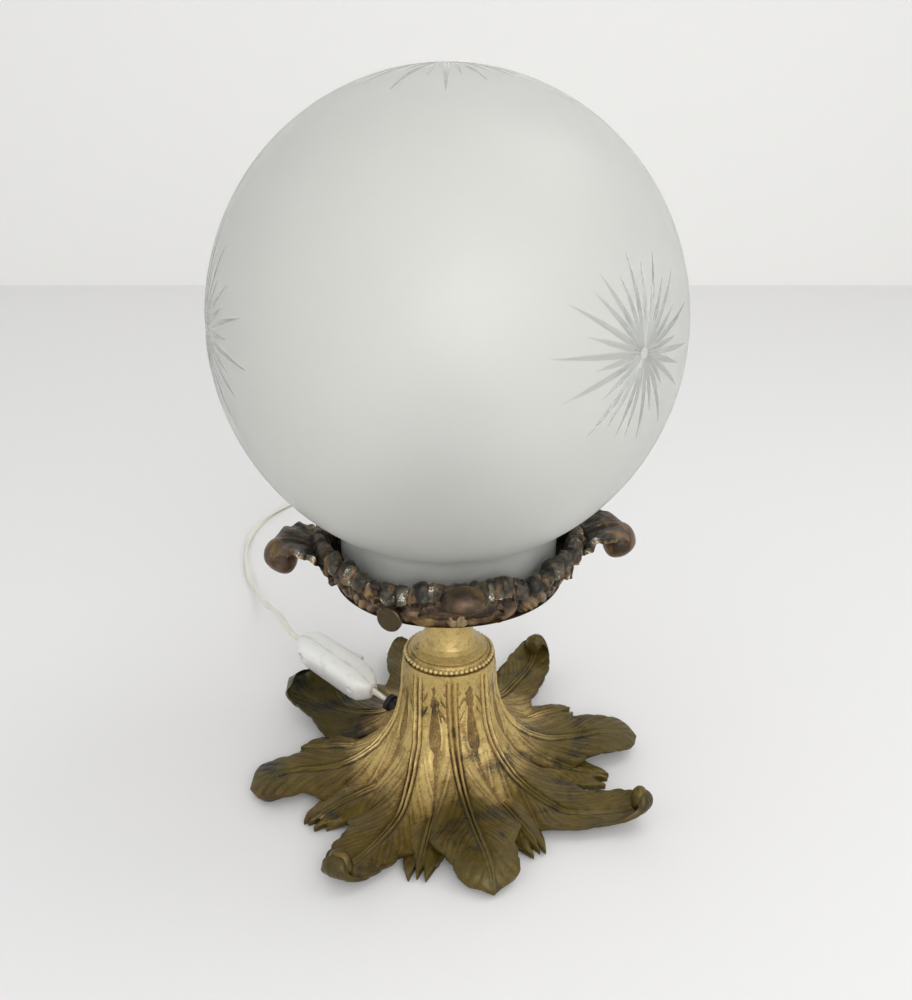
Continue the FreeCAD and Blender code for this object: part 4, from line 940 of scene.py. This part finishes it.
# middle direction, half span in degrees, tongue, middle and half sizes of its nose and the nose's tone,
# the tongue's half width, and the leaflets on the rim beside it, in degrees from the middle
SIDE_LEAFLETS = (-45, -31, -18, 18, 31, 45)
SHORT_LEAFLETS = (-18, 18)
GALLERY_LEAVES = [
    (189.0, 61.0, LEFT_TONGUE, (96.0, 147.0), ROUND_NOSE, 0.48, 18.5, SIDE_LEAFLETS),
    (1.0, 61.0, RIGHT_TONGUE, (99.0, 149.0), ROUND_NOSE, 0.48, 18.5, SIDE_LEAFLETS),
    (276.0, 31.0, SHORT_TONGUE, (82.0, 153.8), WIDE_NOSE, 0.35, 15.0, SHORT_LEAFLETS),
    (96.0, 31.0, SHORT_TONGUE, (82.0, 153.8), WIDE_NOSE, 0.35, 15.0, SHORT_LEAFLETS),
]
# The gallery's middle, bored for the tube, and the ledge that the globe's neck stands on
HUB = [(5.1, 99.1), (5.1, 104.0), (16.5, 104.0), (18.5, 107.6), (18.6, 106.8), (15.6, 104.6), (14.2, 103.4),
       (14.0, 99.1)]
LEDGE = [(57.0, 129.2), (57.0, 130.0), (66.2, 130.0), (66.0, 129.8), (60.0, 129.3)]


def folds(degrees, seed=0.0):
    """The rim's uneven folds, 0 in their sharp valleys and 1 on their round crests."""
    turn = np.radians(degrees)
    phase = degrees * 23 / 360 + 0.5 * np.sin(3 * turn + 0.4 + seed) + 0.35 * np.sin(7 * turn + seed)
    fine = degrees * 59 / 360 + 0.3 + 0.9 * np.sin(5 * turn) + 0.5 * np.sin(11 * turn + 2 + seed)
    return 0.5 * np.abs(np.sin(math.pi * phase)) ** 0.8 + 0.5 * np.abs(np.sin(math.pi * fine)) ** 0.8


def gallery_wall():
    """The bowl and its ruffled rim in one sheet: leaf folds below, rolled outwards and crumpled above."""
    cols = WALL_COLS
    phi = np.linspace(0, 2 * math.pi, cols, endpoint=False)
    degrees = np.degrees(phi)
    offset = np.zeros(cols)
    share = np.full(cols, 9.0)
    for middle, span, *_ in GALLERY_LEAVES:
        away = (degrees - middle + 180) % 360 - 180
        nearer = np.abs(away) / span < share
        offset = np.where(nearer, away, offset)
        share = np.where(nearer, np.abs(away) / span, share)
    swell = 1 - smooth_step(0.55, 1.0, share)
    fold = folds(degrees)
    rim_z = 150.0 + 6.0 * swell + 4.5 * (fold - 0.45) * (0.5 + 0.5 * swell)
    rim_out = 1.2 + 1.6 * swell + 3.0 * (fold - 0.4)
    droop = 3.5 + 4.5 * fold
    line, _ = through(BOWL, BOWL_ROWS)
    wall, mark, crust = [], [], []
    for r, z in line:
        t = np.clip((z - 107) / 34, 0, 1)
        spread = offset / (0.45 + 0.55 * t)
        leaf_fold = folds(spread + 17 * np.sign(offset), 1.3)
        midrib = np.exp(-(np.radians(offset) * r / 7.0) ** 2)
        seam = np.exp(-((1 - share) * 9.0) ** 2)
        flute = 3.6 * (leaf_fold - 0.7) * (1 - 0.6 * midrib) + 1.2 * midrib - 2.2 * seam
        flute = flute * (0.35 + 0.65 * t) * min(1, t * 9)
        wall.append(np.stack([r + flute, np.full(cols, z)], axis=-1))
        mark.append(0.46 + 0.4 * (leaf_fold - 0.5) * (0.4 + 0.6 * t) + 0.14 * midrib - 0.2 * seam)
        crust.append(np.full(cols, 0.05))
    top = wall[-1]
    for k in range(1, ROLL_ROWS):
        t = np.full(cols, k / (ROLL_ROWS - 1))
        rise = smooth_step(0.0, 0.55, t)
        turn = smooth_step(0.42, 1.0, t)
        r = top[:, 0] + 1.0 * rise + rim_out * smooth_step(0.15, 0.85, t) + 0.6 * turn
        z = top[:, 1] + (rim_z - top[:, 1]) * rise - droop * turn ** 1.4
        wall.append(np.stack([r, z], axis=-1))
        mark.append(0.34 + 0.42 * fold * smooth_step(0.1, 0.5, t))
        crust.append(0.12 + 0.22 * smooth_step(0.1, 0.6, t))
    wall = np.array(wall)
    grid = np.stack([wall[..., 0] * np.cos(phi), wall[..., 0] * np.sin(phi), wall[..., 1]], axis=-1)
    closed = np.concatenate([grid, grid[:, :1]], axis=1)
    surface = normals_of(closed)[:, :-1]
    band = smooth_step(128, 150, wall[..., 1])
    crumple = 1.5 * rough(grid, 7.0, 5) + 1.0 * rough(grid, 3.0, 6) + 0.35 * rough(grid, 1.7, 8)
    crumple = crumple * (0.3 + 0.7 * band) + 0.5 * rough(grid, 11.0, 7)
    grid = grid + surface * crumple[..., None]
    inner = grid - surface * WALL_THICK
    # Above the ledge the inside stays clear of the globe's neck.
    radius = np.maximum(np.linalg.norm(inner[..., :2], axis=-1), 1e-6)
    kept_out = np.maximum(radius, np.interp(inner[..., 2], [129.9, 130.1, 133, 141], [0.0, 62.5, 62.8, 66.2]))
    inner[..., :2] *= (kept_out / radius)[..., None]
    rows = grid.shape[0]
    points = np.vstack([grid.reshape(-1, 3), inner.reshape(-1, 3)])
    outer_faces = grid_faces(rows, cols, closed=True)
    inner_faces = grid_faces(rows, cols, rows * cols, closed=True)[:, ::-1]
    index = np.arange(cols)
    after = np.roll(index, -1)
    bottom = np.stack([index, after, after + rows * cols, index + rows * cols], axis=-1)[:, ::-1]
    last = index + (rows - 1) * cols
    last_after = after + (rows - 1) * cols
    edge = np.stack([last, last_after, last_after + rows * cols, last + rows * cols], axis=-1)
    mark = np.clip(np.array(mark) - 0.04 + 0.18 * crumple, 0, 1)
    crust = np.array(crust)
    marks = np.concatenate([mark.ravel(), mark.ravel() * 0.7])
    crusts = np.concatenate([crust.ravel(), np.full(crust.size, 0.75)])
    return points, np.vstack([outer_faces, inner_faces, bottom, edge]), marks, crusts


def tongue(middle, line_points, half, seed):
    """A leaf's tongue: a hollowed blade with ragged sides that rises over the rim and runs into its nose."""
    rows, cols = TONGUE_GRID
    line, s = through(line_points, rows)
    t = (s / s[-1])[:, None]
    u = np.linspace(-1, 1, cols)[None, :]
    ragged = 0.2 * np.abs(np.sin(t * 10 + seed)) + 0.08 * np.sin(t * 37)
    ragged = 1 + ragged * (1 - smooth_step(0.6, 0.85, t))
    width = half * np.interp(t, [0, 0.25, 0.5, 0.72, 0.9, 1.0], [1.25, 1.1, 0.98, 0.84, 0.66, 0.4]) * ragged
    along_r, along_z = slopes(line)
    cup = np.interp(t, [0, 0.3, 0.6, 0.8, 1.0], [1.0, 2.6, 1.6, -2.0, -4.0])
    rib = 0.9 * np.exp(-(u * width / 1.1) ** 2) - 0.5 * np.exp(-((np.abs(u * width) - 3.0) / 1.2) ** 2)
    strokes = 0.22 * np.sin(np.abs(u) * 9 - t * 16 + seed) * smooth_step(0.1, 0.4, np.abs(u))
    lift = cup * np.abs(u) ** 2 + (rib + strokes) * (1 - smooth_step(0.65, 0.85, t))
    grid = around(middle, line[:, 0:1] - along_z * lift, u * width, line[:, 1:2] + along_r * lift)
    loose = (0.35 + 0.65 * smooth_step(0.5, 1.0, np.abs(u))) * (1 - 0.85 * smooth_step(0.55, 0.75, t))
    lumps = (1.8 * rough(grid, 6.5, seed + 40) + 0.8 * rough(grid, 2.6, seed + 41)) * loose
    out = -normals_of(grid)
    grid = grid + out * lumps[..., None]
    points, faces = shell(grid, 3.2, out)
    mark = np.clip(0.36 + 0.2 * lumps + 0.14 * (rib + strokes) + 0.1 * np.abs(u) ** 4, 0, 1) + 0 * u * t
    crust = 0.75 * (1 - smooth_step(0.55, 0.85, t)) + 0 * u
    marks = np.concatenate([mark.ravel(), mark.ravel()])
    return points, faces, marks, np.concatenate([crust.ravel(), crust.ravel() * 0.4])


def leaflet(direction, length, half, lean, seed):
    """A small ragged leaflet on the rim, curling outwards and down."""
    rows, cols = LEAFLET_GRID
    root_r, root_z = LEAFLET_ROOT
    curl = [(0, 0), (1.5, 0.5), (4, 0.85), (7, 0.84), (8.5, 0.55), (7.5, 0.3)]
    line, s = through([(root_r + out, root_z + length * up) for out, up in curl], rows)
    t = (s / s[-1])[:, None]
    u = np.linspace(-1, 1, cols)[None, :]
    width = half * np.interp(t, [0, 0.4, 0.75, 1.0], [0.95, 1.0, 0.8, 0.35])
    width = width * (1 + 0.1 * np.sin(t * 14 + seed))
    along_r, along_z = slopes(line)
    lift = -2.6 * u ** 2 + 0.9 * np.exp(-(u / 0.16) ** 2) - 0.7 * np.exp(-((np.abs(u) - 0.45) / 0.12) ** 2)
    side = u * width + lean * t * 4
    grid = around(direction, line[:, 0:1] - along_z * lift, side, line[:, 1:2] + along_r * lift)
    lumps = 0.9 * rough(grid, 6.0, seed + 60) + 0.45 * rough(grid, 2.4, seed + 61)
    out = -normals_of(grid)
    grid = grid + out * lumps[..., None]
    points, faces = shell(grid, 2.4, out)
    mark = np.clip(0.36 + 0.24 * lumps + 0.12 * np.exp(-(u / 0.2) ** 2), 0, 1) + 0 * u * t
    marks = np.concatenate([mark.ravel(), mark.ravel()])
    return points, faces, marks, np.full(len(marks), 0.3)


def gallery():
    """The cast leaf gallery that carries the globe."""
    parts = [gallery_wall()]
    for i, (middle, _, line, tip, nose_half, tone, half, leaflets) in enumerate(GALLERY_LEAVES):
        parts.append(tongue(middle, line, half, i))
        parts.append(nose(middle, tip, i, nose_half, tone))
        for k, offset in enumerate(leaflets):
            length = 17.0 if abs(offset) < 20 else 13.0
            parts.append(leaflet(middle + offset, length, 7.5, math.copysign(1, offset), i * 7 + k))
    for outline, green in ((HUB, 0.1), (LEDGE, 0.6)):
        points, faces = lathe(outline, INSIDE_SIDES)
        parts.append((points, faces, np.full(len(points), 0.45), np.full(len(points), green)))
    points, faces, marks = gather([p[:3] for p in parts])
    green = np.concatenate([np.ravel(p[3]) for p in parts])
    made = piece("leaf_gallery", points, faces, FINISH["dark_bronze"], "lamp",
                 {"relief": marks, "age": green})
    made.data.set_sharp_from_angle(angle=math.radians(60))
    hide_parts("gallery")


gallery()


# ----------------------------------------------------------------------- globe

GLOBE_R = 125.0
GLOBE_HALF = 127.5
GLOBE_Z = 276.0
GLASS = 3.0
NECK_R = 62.0
NECK_Z = 130.0
STAR_HEIGHT = 8.0
STAR_TURNS = (-45.0, -160.0, 77.0)
STAR_RAYS = 28
STAR_CENTRE = 2.6
RAY_STEPS = 9
GLOBE_SIDES = 160


def globe_outline():
    """The glass's section: outside from the neck's edge to the top, inside back down."""
    def arc(radius, half, neck, count):
        start = math.asin(neck / radius)
        angles = np.linspace(math.pi - start, 0, count)
        return [(radius * math.sin(a), GLOBE_Z + half * math.cos(a)) for a in angles]
    outside = arc(GLOBE_R, GLOBE_HALF, NECK_R + 1.5, 110)
    inside = arc(GLOBE_R - GLASS, GLOBE_HALF - GLASS, NECK_R - GLASS + 1.0, 70)
    join = outside[0][1]
    neck_out = [(NECK_R - 0.8, NECK_Z), (NECK_R, NECK_Z + 0.8), (NECK_R, NECK_Z + 12), (NECK_R, NECK_Z + 24),
                (NECK_R, join - 3.5), (NECK_R + 0.4, join - 1.5)]
    bore_r = NECK_R - GLASS
    neck_in = [(bore_r + 0.3, inside[0][1] - 2), (bore_r, inside[0][1] - 5), (bore_r, NECK_Z + 12),
               (bore_r, NECK_Z + 0.8), (bore_r + 0.8, NECK_Z)]
    outside[-1] = (0.05, outside[-1][1])
    inside[-1] = (0.05, inside[-1][1])
    return neck_out + outside + inside[::-1] + neck_in


def star_cutters(axis, seed, first_ray):
    """Long V-shaped wedges round an axis, every other ray of a star, bent to the globe's surface."""
    axis = np.array(axis, float)
    axis /= np.linalg.norm(axis)
    first = np.cross(axis, (0.3, 0.2, 1.0) if abs(axis[2]) < 0.9 else (1.0, 0.2, 0.1))
    first /= np.linalg.norm(first)
    second = np.cross(axis, first)
    scale = np.array([GLOBE_R, GLOBE_R, GLOBE_HALF])
    verts, faces = [], []
    for k in range(first_ray, STAR_RAYS, 2):
        jitter = noise.noise(Vector((k * 2.3, seed * 3.1, 0.5)))
        turn = 2 * math.pi * (k + 0.25 * jitter) / STAR_RAYS
        reach = 40.0 + 16.0 * noise.noise(Vector((k * 1.9, seed * 1.7, 2.5))) + (7.0 if k % 2 else -5.0)
        way = math.cos(turn) * first + math.sin(turn) * second
        flank = np.cross(axis, way)
        start = len(verts)
        for i in range(RAY_STEPS):
            t = i / (RAY_STEPS - 1)
            away = STAR_CENTRE + (reach - STAR_CENTRE) * t
            tilt = away / GLOBE_R
            spot = axis * math.cos(tilt) + way * math.sin(tilt)
            width = np.interp(t, [0, 0.25, 0.6, 1.0], [0.35, 1.5, 1.3, 0.06])
            deep = np.interp(t, [0, 0.25, 0.6, 1.0], [0.5, 1.15, 0.85, 0.05])
            ground = spot * scale
            up = spot / scale
            up /= np.linalg.norm(up)
            for side, lift in ((-width * 1.6, deep * 0.6), (0.0, -deep), (width * 1.6, deep * 0.6)):
                verts.append(ground + flank * side + up * lift + np.array([0, 0, GLOBE_Z]))
        for i in range(RAY_STEPS - 1):
            a = start + 3 * i
            for m, n in ((0, 1), (1, 2), (2, 0)):
                faces.append([a + m, a + n, a + 3 + n, a + 3 + m])
        faces.append([start + 2, start + 1, start])
        end = start + 3 * (RAY_STEPS - 1)
        faces.append([end, end + 1, end + 2])
    return np.array(verts), faces


def cut_stars(made):
    """Cuts the stars into the glass, odd and even rays apart, because overlapping wedges cut badly."""
    polished = cut_glass()
    made.data.materials.append(polished)
    rise = math.asin(STAR_HEIGHT / GLOBE_HALF)
    turns = [math.radians(a) for a in STAR_TURNS]
    axes = [(math.cos(a) * math.cos(rise), math.sin(a) * math.cos(rise), math.sin(rise)) for a in turns]
    for i, axis in enumerate(axes + [(0.0, 0.0, 1.0)]):
        for first_ray in (0, 1):
            carve(made, [star_cutters(axis, i, first_ray)], polished)
    made.data.set_sharp_from_angle(angle=math.radians(28))


def globe():
    points, faces = lathe(globe_outline(), GLOBE_SIDES)
    made = piece("etched_globe", points, faces, FINISH["frosted_glass"], "globe")
    cut_stars(made)
    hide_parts("globe")


globe()


# -------------------------------------------------------- carried-over CAD nodes

# What a turned piece has in place of a casting's own relief and age
TURNED = (("relief", 0.45), ("age", 0.08))

for entry in record["subparts"]:
    kept = frame["nodes"][entry["node"]]
    finish = FINISH[entry["material_slot"]]
    kept.data.materials.clear()
    kept.data.materials.append(finish)
    if finish in (FINISH["gilt_bronze"], FINISH["dark_bronze"]):
        for key, value in TURNED:
            values = kept.data.attributes.new(key, "FLOAT", "POINT").data
            values.foreach_set("value", [value] * len(values))


# ------------------------------------------------------------- floor and lights

def stage_surface(name, size, place, turn, colour):
    """A plain matt studio surface, seen in its own pale colour and keeping the lamp's shadow."""
    bpy.ops.mesh.primitive_plane_add(size=size, location=place, rotation=turn)
    made = bpy.context.object
    made.name = name
    material, add = new_material(name + "_paper")
    made.data.materials.append(finished(material, add, {"Base Color": colour, "Roughness": 0.9}))


stage_surface("studio_floor", 8.0, (0, 0, 0), (0, 0, 0), "#E9E8E7")
stage_surface("studio_wall", 8.0, (0, 1.5, 2.0), (math.pi / 2, 0, 0), "#F2F1EE")


def soft_light(name, place, aim, size, watts):
    """A round studio light, in metres and watts, turned to its aim."""
    lamp = bpy.data.lights.new(name, "AREA")
    lamp.shape = "DISK"
    lamp.size = size
    lamp.energy = watts
    holder = bpy.data.objects.new(name, lamp)
    holder.location = place
    holder.rotation_euler = (Vector(aim) - Vector(place)).to_track_quat("-Z", "Y").to_euler()
    bpy.context.scene.collection.objects.link(holder)


soft_light("key", (0.75, 0.15, 1.5), (0, 0, 0.15), 0.9, 3.5)
soft_light("fill", (0.5, -1.4, 1.0), (0, 0, 0.15), 1.4, 9)
soft_light("low_front", (0.2, -1.7, 0.7), (0, 0, 0.08), 1.1, 5.5)
world = bpy.data.worlds.new("studio")
bpy.context.scene.world = world
world.use_nodes = True
world.node_tree.nodes["Background"].inputs["Color"].default_value = linear("#F4F5F7")
world.node_tree.nodes["Background"].inputs["Strength"].default_value = 0.86
bpy.context.scene.view_settings.view_transform = "Standard"
